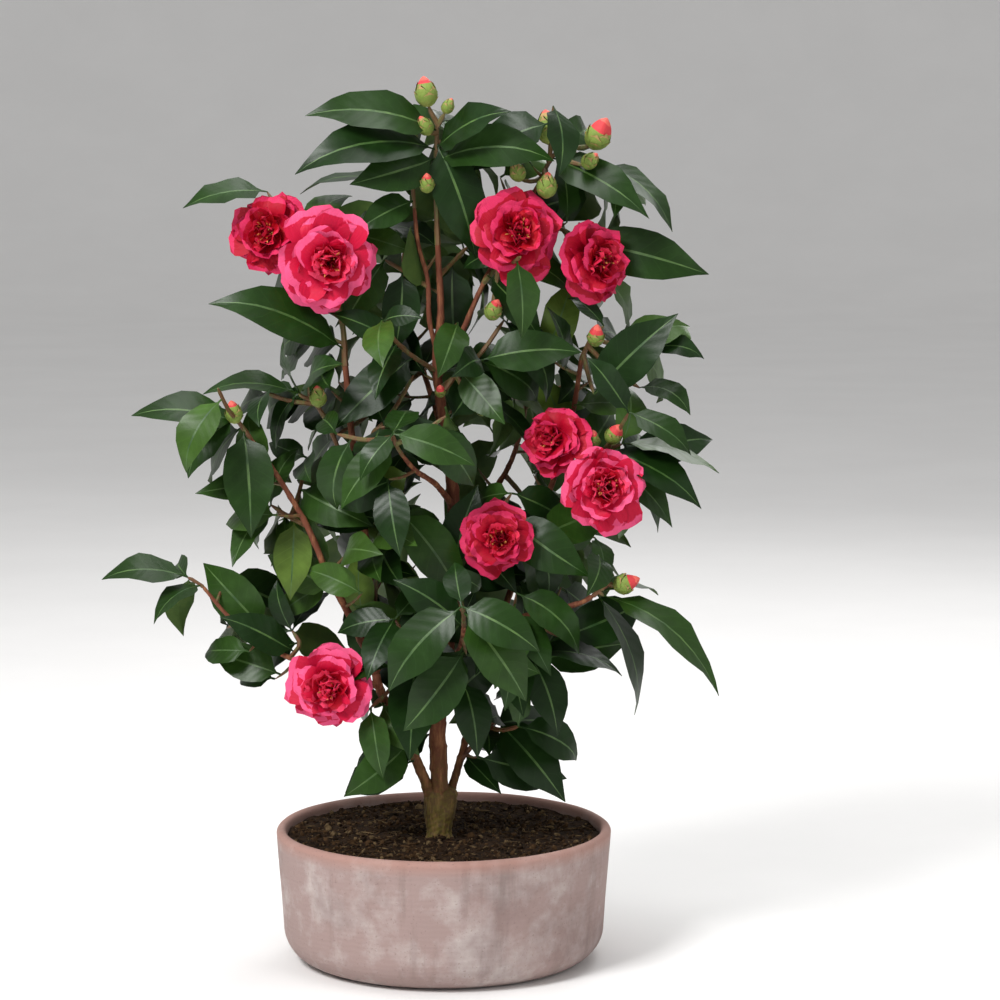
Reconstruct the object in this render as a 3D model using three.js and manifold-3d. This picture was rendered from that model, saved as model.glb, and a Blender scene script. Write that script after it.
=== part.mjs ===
// Camellia shrub in a low round terracotta bowl.
// Millimetres, +Z up, -Y is the front. The origin is the middle of the bowl's flat underside.
// Limbs are tapering tubes. Each mass of foliage is one solid: a stem with twigs, leaves, blooms and
// buds fused on, grown by a seeded rule inside the mass's own space.

import * as THREE from 'three';
import { mergeVertices } from 'three/addons/utils/BufferGeometryUtils.js';
import Module from 'manifold-3d';

const wasm = await Module();
wasm.setup();

// Driving dimensions

const GAP = 0.3; // between pieces that meet
const UP = new THREE.Vector3(0, 0, 1);
const FRONT = new THREE.Vector3(0, -1, 0);
const SIGHT = new THREE.Vector3(0, -0.987, 0.16); // from the crown towards a viewer in front
const GOLDEN_TURN = THREE.MathUtils.degToRad(137.5);

const BOWL = {
  radius: 169,
  foot: 128, // radius of the flat underside
  height: 134,
  corner: 34, // rounding between wall and underside
  lip: 5, // rounding of the rim
  wall: 11,
  floor: 14,
  innerCorner: 24,
  segments: 30,
};
const SOIL_TOP = BOWL.height - 8;

const LEAF = {
  length: [78, 106],
  aspect: 0.46, // width over length
  widest: 50,
  crest: 0.86, // below 1 the widest place lies before the middle
  fullness: 0.85, // below 1 the outline is fuller than a sine
  thickness: 2.3,
  stalk: 0.85, // half width of the stalk, which starts on the twig's axis
  fold: THREE.MathUtils.degToRad(15), // each half rises from the midrib
  bend: [35, 75], // degrees turned from root to tip
  spacing: 16, // along a shoot
  cover: 0.8, // share of a shoot that carries leaves
  turn: THREE.MathUtils.degToRad(144), // round the shoot from leaf to leaf
  longest: 150, // a longer reach gets a twig under the leaf
  stations: [0, 0.08, 0.36, 0.72], // the stalk's two ends, then two across the blade
};
// How much of each way a rule leaf takes. Its numbers are drawn between the pairs.
const LEAF_WAY = { forward: [0.15, 0.6], rise: [-0.8, 0.2], outward: 0.35, turn: [-0.4, 0.4] };
const LEAF_FACE = { up: 0.7, outward: 0.8, front: 0.8, frontBefore: 60, tilt: [-0.35, 0.35] };
// Where a blade is tested: fractions of its length, and of its half width at each.
const SAMPLES = {
  along: [0.14, 0.25, 0.36, 0.47, 0.58, 0.69, 0.8, 0.9],
  across: [-0.9, -0.45, 0, 0.45, 0.9],
};

const TWIG = { length: [44, 72], radius: [2.4, 2], sides: 3, sag: 0.06, seed: 900 };
// Side twigs start over this stretch of a stem and take this much of each way.
const SIDE_TWIG = { from: 0.35, over: 0.6, forward: 0.5, inward: 0.9, rise: 0.35, turn: [-0.3, 0.3] };
const STEM_SIDES = 4;
const LIMB_SIDES = 6;
const MARKS = 4; // tested pieces to each span of a curve
const CLEARANCE = 4.5; // from a leaf to anything that it doesn't grow on
const TWIG_CLEARANCE = 0.7 * CLEARANCE;
const LEAF_LOWEST = 6; // above the bowl's rim
const TRIES = [0, 25, -25, 50, -50, 80, -80, 115, -115]; // degrees a crowded leaf is turned
const SHRINKS = [1, 0.84];

// Limbs: each starts on its parent's axis and tapers along a curve through its points.

const TRUNK = {
  foot: [-5, -25, SOIL_TOP + GAP],
  lean: [3, 1], // offset of the fork from the foot
  // height above the foot, half width, half depth
  sections: [[0, 14.5, 13], [5, 12.5, 11.5], [13, 13, 11.5], [24, 15.5, 12],
    [38, 16.5, 12], [46, 16.5, 11], [51, 13, 8]],
  sides: 14,
};

const LIMBS = [
  { name: 'centre_stem', parent: 'trunk', radii: [9.2, 2.6],
    path: [[-3, -25, 166], [-5, -22, 242], [5, -12, 325], [11, -4, 449], [2, 0, 533],
      [-6, 2, 600], [-2, 2, 655], [-5, 0, 725]] },
  { name: 'left_stem', parent: 'trunk', radii: [5.4, 3],
    path: [[-9, -25, 162], [-30, -32, 214], [-55, -36, 262], [-68, -32, 303], [-72, -22, 392],
      [-87, -16, 502], [-97, -10, 607]] },
  { name: 'right_stem', parent: 'trunk', radii: [4, 2.4],
    path: [[5, -23, 164], [20, -8, 214], [35, 10, 273], [62, 25, 354], [97, 30, 445],
      [125, 25, 526], [139, 5, 611]] },
  { name: 'leader_twin', parent: 'centre_stem', radii: [2.6, 1.9],
    path: [[-5, 2, 612], [-13, -3, 645], [-15, -4, 687], [-24, -3, 721], [-28, 0, 758]] },
  { name: 'left_outer_bough', parent: 'left_stem', radii: [4, 2.2],
    path: [[-67, -32, 297], [-91, -46, 354], [-112, -52, 395], [-133, -57, 447], [-164, -58, 500],
      [-189, -56, 534]] },
  { name: 'lower_left_bough', parent: 'left_stem', radii: [3, 1.6],
    path: [[-62, -34, 282], [-102, -50, 297], [-147, -54, 313], [-182, -54, 331], [-213, -50, 357],
      [-238, -46, 386]] },
  { name: 'right_low_bough', parent: 'centre_stem', radii: [3.8, 2.2],
    path: [[6, -11, 336], [34, -34, 345], [57, -44, 346], [82, -50, 356], [131, -54, 368],
      [150, -54, 377]] },
  { name: 'right_upper_bough', parent: 'centre_stem', radii: [3, 2],
    path: [[-5, 2, 588], [17, 9, 628], [39, 15, 678], [62, 19, 722], [97, 18, 782]] },
  { name: 'back_low_bough', parent: 'centre_stem', radii: [3.8, 2.2],
    path: [[3, -14, 305], [-18, 40, 340], [-48, 98, 368], [-70, 138, 392]] },
  { name: 'back_right_bough', parent: 'centre_stem', radii: [3.6, 2.2],
    path: [[9, -7, 400], [38, 48, 448], [66, 100, 488], [80, 132, 524]] },
  { name: 'back_high_bough', parent: 'centre_stem', radii: [3.2, 2],
    path: [[4, 0, 522], [-14, 42, 572], [-32, 82, 622], [-40, 102, 662]] },
  { name: 'front_low_bough', parent: 'centre_stem', radii: [3.2, 2],
    path: [[0, -17, 285], [14, -58, 318], [20, -100, 340], [22, -122, 358]] },
  { name: 'front_mid_bough', parent: 'centre_stem', radii: [3.2, 2],
    path: [[10, -3, 460], [-6, -44, 486], [-26, -80, 505], [-38, -100, 522]] },
];

// Straight looks through the crown that stay open: [x, y, z, radius], along SIGHT both ways.

const OPENINGS = [
  [64, 0, 496, 15], [80, 0, 484, 13], [-17, 0, 470, 14], [-56, 0, 692, 9], [26, 0, 665, 8],
  [59, 0, 636, 9], [-24, 0, 582, 9], [-88, 0, 607, 8], [-14, 0, 394, 11], [56, 0, 362, 10],
  [-112, 0, 350, 13], [-104, 0, 505, 10], [78, 0, 232, 12],
];
const OPENING_REACH = 260;

// Bare stretches of stem that show from the front: [x, y, z] to [x, y, z], radius.

const SHOWN = [
  { from: [-6, -6, 640], to: [-6, -6, 840], radius: 9 },
  { from: [-28, -6, 620], to: [-2, -6, 560], radius: 7 },
  { from: [-189, -62, 530], to: [-120, -58, 420], radius: 6 },
  { from: [-225, -56, 370], to: [-150, -60, 315], radius: 5 },
  { from: [-5, -32, 150], to: [-5, -32, 235], radius: 12 },
];
const SHOWN_REACH = 240;

// Blooms: centre, diameter, and the way each one faces.

const BLOOMS = {
  far_left: { centre: [-172, -12, 733], width: 88, facing: [-0.32, -0.92, 0.12] },
  left: { centre: [-112, -44, 706], width: 99, facing: [0.1, -0.97, -0.05] },
  right: { centre: [74, -34, 734], width: 92, facing: [0.05, -0.95, 0.2] },
  far_right: { centre: [155, -14, 706], width: 84, facing: [0.55, -0.8, 0.15] },
  side_upper: { centre: [108, -42, 530], width: 74, facing: [-0.6, -0.75, 0.2] },
  side_lower: { centre: [161, -66, 486], width: 88, facing: [0.15, -0.97, 0.1] },
  middle: { centre: [56, -84, 438], width: 73, facing: [0.05, -0.98, 0.1] },
  low_left: { centre: [-110, -86, 291], width: 88, facing: [-0.1, -0.98, 0.05] },
};

// Foliage masses. `stem` continues from the limb at fraction `at`; `space` is an ellipsoid that its
// leaves stay in. Each reach names where on the stem it starts and where it goes: a leaf to its tip, from
// a root of its own where a twig carries it out there, a bloom by its name, a bud to its middle with its
// length.

const leafTo = (at, tip, facing, bend = 55, root = null) => ({ kind: 'leaf', at, tip, facing, bend, root });
const bloomAt = (at, bloom) => ({ kind: 'bloom', at, bloom });
const budAt = (at, middle, size, toward = [0, 0, 1]) => ({ kind: 'bud', at, middle, size, toward });
const LEVEL = [0, -0.25, 1];
const TILTED = [0, -0.5, 0.85];
const SLANT = [0, -0.8, 0.7];
const FACING = [0, -1, 0.25];

const MASSES = [
  { name: 'top_foliage', limb: 'centre_stem', at: 1, twigs: 2,
    stem: [[-6, 0, 766], [-6, 0, 808], [-5, -2, 840]],
    space: { centre: [-6, 12, 800], radii: [165, 135, 90] },
    reaches: [
      leafTo(0.92, [-134, -40, 850], SLANT, 60), leafTo(0.72, [-146, -50, 794], SLANT, 75),
      leafTo(0.64, [-90, -40, 781], FACING, 45), leafTo(0.8, [34, -6, 706], FACING, 50),
      leafTo(0.62, [112, -40, 808], SLANT, 60),
      budAt(1, [-16, -6, 871], 31, [-0.15, 0, 1]), budAt(0.97, [6, -4, 857], 17, [0.5, 0, 1]),
      budAt(0.9, [-17, -12, 838], 22, [-0.5, -0.4, 1]), budAt(0.5, [-15, -20, 782], 21, [0, -0.4, 1]),
    ] },
  { name: 'twin_foliage', limb: 'leader_twin', at: 1, twigs: 1,
    stem: [[-29, 2, 775], [-32, 8, 796]],
    space: { centre: [-60, 30, 770], radii: [130, 115, 75] },
    reaches: [
      leafTo(0.5, [-144, 6, 776], LEVEL, 50), leafTo(0.2, [-84, -26, 736], FACING, 50),
    ] },
  { name: 'upper_left_foliage', limb: 'left_stem', at: 1, twigs: 2,
    stem: [[-100, -8, 645], [-116, -4, 690], [-140, 4, 728]],
    space: { centre: [-122, 18, 690], radii: [145, 120, 100] },
    reaches: [
      bloomAt(0.6, 'left'), bloomAt(0.85, 'far_left'),
      leafTo(1, [-257, -8, 758], TILTED, 55, [-174, 12, 772]), leafTo(0.12, [-230, -40, 670], SLANT, 50),
    ] },
  { name: 'leader_left_foliage', limb: 'leader_twin', at: 0.45, twigs: 1,
    stem: [[-40, 14, 694], [-58, 22, 704]],
    space: { centre: [-60, 20, 680], radii: [100, 90, 80] },
    reaches: [leafTo(1, [-100, 2, 638], FACING, 45), leafTo(0.5, [-48, 10, 612], FACING, 40)] },
  { name: 'leader_right_foliage', limb: 'centre_stem', at: 0.93, twigs: 1,
    stem: [[12, 22, 704], [24, 32, 716]],
    space: { centre: [30, 36, 690], radii: [95, 90, 85] },
    reaches: [leafTo(0.4, [12, 46, 612], FACING, 40)] },
  { name: 'right_crown_foliage', limb: 'right_upper_bough', at: 1, twigs: 2,
    stem: [[106, 14, 802], [118, 6, 818]],
    space: { centre: [128, 24, 780], radii: [135, 130, 80] },
    reaches: [
      budAt(0.9, [105, 4, 836], 36, [-0.2, 0, 1]), budAt(1, [120, -6, 826], 22, [0.1, -0.5, 1]),
      budAt(1, [155, -2, 830], 36, [0.4, -0.3, 0.8]), budAt(0.75, [146, -16, 804], 22, [0.6, -0.5, 0.6]),
      budAt(0.3, [103, -20, 780], 28, [0.1, -0.4, 1]), budAt(0.1, [74, -14, 793], 22, [-0.3, -0.4, 1]),
      leafTo(1, [229, 4, 733], [0.8, -0.4, 0.6], 60, [156, 14, 800]), leafTo(0.6, [206, -30, 750], SLANT, 45),
    ] },
  { name: 'right_bloom_foliage', limb: 'right_upper_bough', at: 0.52, twigs: 1,
    stem: [[56, 6, 700], [66, 2, 714]],
    space: { centre: [70, 0, 690], radii: [100, 100, 80] },
    reaches: [bloomAt(1, 'right'), budAt(0.5, [51, -28, 658], 24, [0.4, -0.4, 0.9])] },
  { name: 'far_right_bloom_foliage', limb: 'right_upper_bough', at: 0.8, twigs: 1,
    stem: [[112, 28, 736], [138, 32, 722]],
    space: { centre: [160, 30, 700], radii: [135, 120, 75] },
    reaches: [bloomAt(1, 'far_right'), leafTo(1, [265, 14, 690], FACING, 40)] },
  { name: 'right_shoulder_foliage', limb: 'right_stem', at: 1, twigs: 2,
    stem: [[148, 0, 628], [160, -6, 640]],
    space: { centre: [170, 10, 610], radii: [115, 115, 85] },
    reaches: [
      budAt(0.7, [152, -20, 632], 24, [0.1, -0.4, 1]),
      leafTo(0.1, [232, -38, 655], FACING, 25, [150, -22, 574]),
      leafTo(0.3, [246, -14, 552], TILTED, 95, [196, 0, 578]),
    ] },
  { name: 'right_foliage', limb: 'right_stem', at: 0.76, twigs: 2,
    stem: [[128, -2, 500], [150, -16, 514], [178, -22, 524]],
    space: { centre: [165, -10, 490], radii: [135, 115, 85] },
    reaches: [
      bloomAt(0.2, 'side_upper'), bloomAt(0.4, 'side_lower'),
      budAt(0.7, [148, -42, 531], 22, [0, -0.5, 1]), budAt(0.85, [170, -38, 536], 24, [0.5, -0.4, 0.8]),
      leafTo(1, [275, -14, 494], LEVEL, 50), leafTo(0.8, [260, -46, 465], TILTED, 50),
      leafTo(0.7, [232, -24, 442], TILTED, 40),
    ] },
  { name: 'centre_upper_right_foliage', limb: 'centre_stem', at: 0.66, twigs: 1,
    stem: [[14, -22, 592], [38, -34, 608]],
    space: { centre: [70, -30, 600], radii: [115, 90, 65] },
    reaches: [
      leafTo(1, [138, -40, 618], SLANT, 45), leafTo(0.6, [62, -66, 548], FACING, 45),
      budAt(0.4, [-2, -32, 578], 15, [0, -0.6, 0.8]), budAt(0.5, [40, -44, 562], 18, [0.3, -0.6, 0.8]),
    ] },
  { name: 'centre_upper_left_foliage', limb: 'centre_stem', at: 0.7, twigs: 2,
    stem: [[-28, -18, 610], [-44, -26, 624]],
    space: { centre: [-64, -26, 620], radii: [100, 100, 80] },
    reaches: [leafTo(0.5, [-106, -48, 541], SLANT, 45), leafTo(1, [-112, -36, 655], SLANT, 50)] },
  { name: 'left_shoulder_foliage', limb: 'left_stem', at: 0.78, twigs: 1,
    stem: [[-118, -30, 554], [-142, -38, 576]],
    space: { centre: [-150, -20, 575], radii: [110, 90, 60] },
    reaches: [
      leafTo(1, [-236, -44, 578], LEVEL, 45), leafTo(0.95, [-159, -58, 628], [-1, -0.3, 0], 25),
      budAt(0.6, [-122, -46, 574], 23, [-0.1, -0.3, 1]),
    ] },
  { name: 'left_foliage', limb: 'left_outer_bough', at: 1, twigs: 1,
    stem: [[-198, -56, 548], [-203, -57, 553]],
    space: { centre: [-205, -40, 530], radii: [100, 95, 60] },
    reaches: [
      budAt(1, [-204, -62, 560], 24, [-0.2, -0.2, 1]), leafTo(0.5, [-304, -70, 560], TILTED, 45),
      leafTo(0.3, [-186, -88, 438], FACING, 35),
    ] },
  { name: 'left_inner_foliage', limb: 'left_outer_bough', at: 0.6, twigs: 2,
    stem: [[-150, -36, 452], [-170, -30, 464]],
    space: { centre: [-142, -20, 450], radii: [85, 95, 75] },
    reaches: [leafTo(0.4, [-150, -60, 372], FACING, 40)] },
  { name: 'centre_left_foliage', limb: 'left_stem', at: 0.74, twigs: 2,
    stem: [[-70, -40, 530], [-56, -46, 544]],
    space: { centre: [-60, -30, 520], radii: [90, 95, 75] },
    reaches: [leafTo(1, [20, -62, 510], SLANT, 70), leafTo(0.4, [-112, -70, 480], FACING, 45)] },
  { name: 'centre_foliage', limb: 'left_stem', at: 0.55, twigs: 2,
    stem: [[-62, -40, 436], [-44, -50, 462]],
    space: { centre: [-40, -50, 440], radii: [95, 95, 85] },
    reaches: [leafTo(1, [25, -78, 368], SLANT, 50), leafTo(0.3, [-24, -76, 400], SLANT, 60)] },
  { name: 'centre_right_foliage', limb: 'centre_stem', at: 0.4, twigs: 2,
    stem: [[38, -34, 436], [66, -40, 452]],
    space: { centre: [88, -36, 430], radii: [100, 100, 80] },
    reaches: [bloomAt(0.6, 'middle'), leafTo(1, [146, -70, 398], FACING, 45)] },
  { name: 'lower_left_tip_foliage', limb: 'lower_left_bough', at: 1, twigs: 0,
    stem: [[-246, -46, 391], [-252, -46, 394]],
    space: { centre: [-255, -46, 385], radii: [70, 65, 45] },
    reaches: [leafTo(1, [-337, -60, 396], TILTED, 60), leafTo(0.8, [-262, -10, 330], LEVEL, 55)] },
  { name: 'lower_left_foliage', limb: 'lower_left_bough', at: 0.42, twigs: 0,
    stem: [[-142, -40, 326], [-150, -30, 338]],
    space: { centre: [-150, -20, 335], radii: [100, 90, 65] },
    reaches: [leafTo(0.2, [-218, -70, 360], SLANT, 40)] },
  { name: 'low_left_bloom_foliage', limb: 'lower_left_bough', at: 0.36, twigs: 2,
    stem: [[-98, -58, 290], [-106, -66, 285]],
    space: { centre: [-100, -30, 330], radii: [90, 95, 65] },
    reaches: [bloomAt(1, 'low_left'), leafTo(0.5, [-52, -100, 316], SLANT, 45)] },
  { name: 'lower_centre_foliage', limb: 'centre_stem', at: 0.24, twigs: 2,
    stem: [[-18, -40, 306], [-34, -52, 318]],
    space: { centre: [-30, -50, 290], radii: [95, 95, 75] },
    reaches: [leafTo(0.8, [-32, -88, 217], FACING, 35), leafTo(0.3, [6, -84, 276], SLANT, 40)] },
  { name: 'lower_right_foliage', limb: 'right_low_bough', at: 0.42, twigs: 2,
    stem: [[72, -56, 330], [88, -54, 316]],
    space: { centre: [95, -40, 300], radii: [115, 100, 70] },
    reaches: [
      leafTo(0.2, [80, -100, 264], FACING, 35), leafTo(0.9, [180, -58, 300], LEVEL, 50),
      leafTo(1, [114, -70, 240], SLANT, 40),
    ] },
  { name: 'low_right_foliage', limb: 'right_low_bough', at: 1, twigs: 0,
    stem: [[158, -54, 384], [166, -52, 388]],
    space: { centre: [190, -40, 360], radii: [100, 95, 70] },
    reaches: [
      budAt(1, [182, -58, 390], 28, [1, -0.1, 0.4]), leafTo(0.3, [272, -70, 279], [0.5, -0.5, 0.7], 65),
      leafTo(0.2, [216, -22, 374], LEVEL, 70), leafTo(0.15, [196, -74, 260], [0.9, -0.45, 0.3], 50),
    ] },
  { name: 'skirt_left_foliage', limb: 'left_stem', at: 0.11, twigs: 0,
    stem: [[-36, -40, 224], [-42, -44, 226]],
    space: { centre: [-60, -50, 215], radii: [75, 70, 60] },
    reaches: [leafTo(0.6, [-98, -80, 180], FACING, 45, [-34, -44, 226])] },
  { name: 'skirt_right_foliage', limb: 'right_stem', at: 0.13, twigs: 1,
    stem: [[40, -14, 232], [56, -20, 248]],
    space: { centre: [66, -16, 222], radii: [90, 90, 55] },
    reaches: [
      leafTo(0.1, [59, -38, 174], SLANT, 40), leafTo(0.9, [122, -44, 167], SLANT, 50),
      leafTo(0.6, [46, -60, 218], FACING, 40),
    ] },
  { name: 'back_low_foliage', limb: 'back_low_bough', at: 1, twigs: 3,
    stem: [[-84, 150, 408], [-92, 158, 424]],
    space: { centre: [-80, 130, 390], radii: [135, 120, 100] }, reaches: [] },
  { name: 'back_low_right_foliage', limb: 'back_low_bough', at: 0.5, twigs: 3,
    stem: [[-10, 92, 330], [20, 110, 312]],
    space: { centre: [30, 105, 310], radii: [120, 115, 95] }, reaches: [] },
  { name: 'back_right_foliage', limb: 'back_right_bough', at: 1, twigs: 3,
    stem: [[84, 140, 548], [84, 142, 570]],
    space: { centre: [85, 125, 540], radii: [130, 115, 100] }, reaches: [] },
  { name: 'back_right_low_foliage', limb: 'back_right_bough', at: 0.6, twigs: 3,
    stem: [[88, 84, 452], [110, 92, 432]],
    space: { centre: [125, 95, 420], radii: [120, 110, 90] }, reaches: [] },
  { name: 'back_high_foliage', limb: 'back_high_bough', at: 1, twigs: 3,
    stem: [[-42, 106, 690], [-40, 104, 716]],
    space: { centre: [-35, 100, 690], radii: [130, 110, 110] }, reaches: [] },
  { name: 'back_left_foliage', limb: 'back_high_bough', at: 0.45, twigs: 3,
    stem: [[-62, 66, 560], [-92, 76, 552]],
    space: { centre: [-105, 80, 540], radii: [115, 110, 95] }, reaches: [] },
  { name: 'front_low_foliage', limb: 'front_low_bough', at: 1, twigs: 2,
    stem: [[22, -134, 370], [20, -142, 380]],
    space: { centre: [20, -125, 345], radii: [100, 85, 70] }, reaches: [
      leafTo(1, [-52, -134, 295], SLANT, 45), leafTo(0.7, [84, -134, 285], SLANT, 45),
    ] },
  { name: 'front_mid_foliage', limb: 'front_mid_bough', at: 1, twigs: 2,
    stem: [[-44, -112, 534], [-46, -118, 544]],
    space: { centre: [-45, -105, 510], radii: [90, 85, 70] }, reaches: [
      leafTo(1, [34, -122, 514], SLANT, 55),
    ] },
];

// Seeded numbers

// Mulberry32: the same run of numbers between 0 and 1 for the same seed.
function seeded(...parts) {
  let state = parts.reduce((sum, part) => (Math.imul(sum, 7919) + part + 1) >>> 0, 17);
  return (low, high) => {
    state = (state + 0x6d2b79f5) >>> 0;
    let mixed = Math.imul(state ^ (state >>> 15), state | 1);
    mixed ^= mixed + Math.imul(mixed ^ (mixed >>> 7), mixed | 61);
    return low + (high - low) * (((mixed ^ (mixed >>> 14)) >>> 0) / 4294967296);
  };
}

// Vectors and curves

const vector = (values) => new THREE.Vector3(...values);
const plus = (point, direction, distance) => point.clone().addScaledVector(direction, distance);
const radians = THREE.MathUtils.degToRad;

// The part of `direction` square to the unit vector `axis`, made a unit vector.
function squareTo(direction, axis) {
  return plus(direction, axis, -direction.dot(axis)).normalize();
}

function curveThrough(points) {
  return new THREE.CatmullRomCurve3(points, false, 'catmullrom', 0.5);
}

function distanceToSegment(point, start, end) {
  const along = end.clone().sub(start);
  const reach = point.clone().sub(start).dot(along) / along.lengthSq();
  return point.distanceTo(plus(start, along, THREE.MathUtils.clamp(reach, 0, 1)));
}

// Solids

// A closed mesh from rings of points; every ring has the same count, and a ring of one is a tip.
function loft(rings) {
  const positions = rings.flat().flatMap((point) => point.toArray());
  const starts = rings.map((_, i) => rings.slice(0, i).reduce((sum, ring) => sum + ring.length, 0));
  const triangles = [];
  for (let i = 0; i + 1 < rings.length; i++) {
    const count = Math.max(rings[i].length, rings[i + 1].length);
    const near = (k) => starts[i] + (k % rings[i].length);
    const far = (k) => starts[i + 1] + (k % rings[i + 1].length);
    for (let k = 0; k < count; k++) {
      if (rings[i].length > 1) triangles.push(near(k), near(k + 1), far(k));
      if (rings[i + 1].length > 1) triangles.push(near(k + 1), far(k + 1), far(k));
    }
  }
  for (const [index, flip] of [[0, true], [rings.length - 1, false]]) {
    for (let k = 1; k + 1 < rings[index].length; k++) {
      const corners = [starts[index], starts[index] + k, starts[index] + k + 1];
      triangles.push(...(flip ? corners.reverse() : corners));
    }
  }
  return closedGeometry(positions, triangles);
}

// A geometry from positions and triangles, turned so that its faces point out.
function closedGeometry(positions, triangles) {
  const at = (i) => new THREE.Vector3().fromArray(positions, 3 * i);
  let volume = 0;
  for (let i = 0; i < triangles.length; i += 3) {
    volume += at(triangles[i]).dot(at(triangles[i + 1]).cross(at(triangles[i + 2])));
  }
  const geometry = new THREE.BufferGeometry();
  geometry.setAttribute('position', new THREE.Float32BufferAttribute(positions, 3));
  geometry.setIndex(volume < 0 ? [...triangles].reverse() : triangles);
  return geometry;
}

function solidOf(geometry) {
  const bare = geometry.clone();
  bare.deleteAttribute('normal');
  bare.deleteAttribute('uv');
  const merged = mergeVertices(bare, 1e-4);
  return new wasm.Manifold(new wasm.Mesh({
    numProp: 3,
    vertProperties: new Float32Array(merged.attributes.position.array),
    triVerts: new Uint32Array(merged.index.array),
  }));
}

// The largest closed body of a solid, so that a scrap left by a cut is dropped.
function mainBody(solid) {
  const bodies = solid.decompose();
  return bodies.reduce((best, body) => (body.volume() > best.volume() ? body : best));
}

// The solid as an original, without the record of its forerunners that each boolean carries on.
const settled = (solid) => solid.asOriginal();

function geometryOf(solid) {
  const mesh = solid.getMesh();
  const geometry = new THREE.BufferGeometry();
  geometry.setAttribute('position', new THREE.BufferAttribute(new Float32Array(mesh.vertProperties), 3));
  geometry.setIndex(new THREE.BufferAttribute(new Uint32Array(mesh.triVerts), 1));
  geometry.computeVertexNormals();
  return geometry;
}

// A tapering tube: rings square to a curve, carried along it without twist.
function tubeGeometry(curve, radii, sides, steps) {
  const rings = [];
  let side = squareTo(Math.abs(curve.getTangent(0).x) < 0.8 ? new THREE.Vector3(1, 0, 0) : UP,
    curve.getTangent(0));
  for (let i = 0; i <= steps; i++) {
    const along = curve.getTangent(i / steps);
    side = squareTo(side, along);
    const across = new THREE.Vector3().crossVectors(along, side);
    const radius = THREE.MathUtils.lerp(radii[0], radii[1], i / steps);
    const middle = curve.getPoint(i / steps);
    rings.push(Array.from({ length: sides }, (_, k) => {
      const angle = (2 * Math.PI * k) / sides;
      return plus(plus(middle, side, radius * Math.cos(angle)), across, radius * Math.sin(angle));
    }));
  }
  return loft(rings);
}

// Bowl and soil

function arc(centreX, centreY, radius, from, to, steps) {
  return Array.from({ length: steps + 1 }, (_, i) => {
    const angle = radians(from + ((to - from) * i) / steps);
    return new THREE.Vector2(centreX + radius * Math.cos(angle), centreY + radius * Math.sin(angle));
  });
}

// The inner wall's radius at the height of its straight part.
const innerRadius = BOWL.radius - 2 * BOWL.lip;
const innerFoot = BOWL.foot + BOWL.corner - BOWL.wall;

function bowlGeometry() {
  const profile = [
    new THREE.Vector2(0, 0),
    ...arc(BOWL.foot, BOWL.corner, BOWL.corner, -90, 0, 4),
    ...arc(BOWL.radius - BOWL.lip, BOWL.height - BOWL.lip, BOWL.lip, 0, 180, 4),
    ...arc(innerFoot - BOWL.innerCorner, BOWL.floor + BOWL.innerCorner, BOWL.innerCorner, 0, -90, 2),
    new THREE.Vector2(0, BOWL.floor),
  ];
  return turned(profile);
}

function soilGeometry() {
  const wallTop = BOWL.height - BOWL.lip;
  const wallFoot = BOWL.floor + BOWL.innerCorner;
  const share = (SOIL_TOP - wallFoot) / (wallTop - wallFoot);
  const topRadius = THREE.MathUtils.lerp(innerFoot, innerRadius, share) - 2 * GAP;
  const profile = [
    new THREE.Vector2(0, BOWL.floor + GAP),
    ...arc(innerFoot - BOWL.innerCorner, wallFoot, BOWL.innerCorner - 2 * GAP, -90, 0, 2),
    new THREE.Vector2(topRadius, SOIL_TOP),
    new THREE.Vector2(0, SOIL_TOP),
  ];
  return turned(profile);
}

// A lathe shape stood upright, its axis along Z.
function turned(profile) {
  const lathe = new THREE.LatheGeometry(profile, BOWL.segments).rotateX(Math.PI / 2);
  const { position } = lathe.attributes;
  return geometryOf(solidOf(closedGeometry(Array.from(position.array), Array.from(lathe.index.array))));
}

// Trunk and limbs

// The trunk's sections are ovals that lean from the foot to the fork.
function trunkGeometry(grown = 0) {
  const [x, y, z] = TRUNK.foot;
  const top = TRUNK.sections.at(-1)[0];
  const rings = TRUNK.sections.map(([height, halfWidth, halfDepth], i) => {
    const share = height / top;
    const end = i === 0 ? -grown : i === TRUNK.sections.length - 1 ? grown : 0;
    return Array.from({ length: TRUNK.sides }, (_, k) => {
      const angle = (2 * Math.PI * k) / TRUNK.sides;
      return new THREE.Vector3(
        x + TRUNK.lean[0] * share + (halfWidth + grown) * Math.cos(angle),
        y + TRUNK.lean[1] * share + (halfDepth + grown) * Math.sin(angle),
        z + height + end,
      );
    });
  });
  return loft(rings);
}

function limbGeometry(limb, grown = 0) {
  const points = limb.path.map(vector);
  if (grown > 0) {
    const last = points.length - 1;
    const onward = points[last].clone().sub(points[last - 1]).normalize();
    points[last].addScaledVector(onward, grown);
  }
  const steps = 2 * (points.length - 1);
  return tubeGeometry(curveThrough(points), limb.radii.map((radius) => radius + grown), LIMB_SIDES, steps);
}

// Leaves

// Half width at fraction t of the length: widest before the middle, drawn out to a point.
function halfWidth(length, t) {
  if (t <= 0 || t >= 1) return 0;
  const swell = Math.sin(Math.PI * t ** LEAF.crest) ** LEAF.fullness;
  return 0.5 * Math.min(LEAF.aspect * length, LEAF.widest) * swell;
}

// A leaf's midrib is an arc that leaves `root` along `along` and turns by `bend` away from `face`.
function makeLeaf(root, along, face, length, bend) {
  const radius = length / bend;
  const hinge = plus(root, face, -radius);
  return { root, along, face, across: new THREE.Vector3().crossVectors(along, face), length, bend,
    radius, hinge };
}

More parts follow.
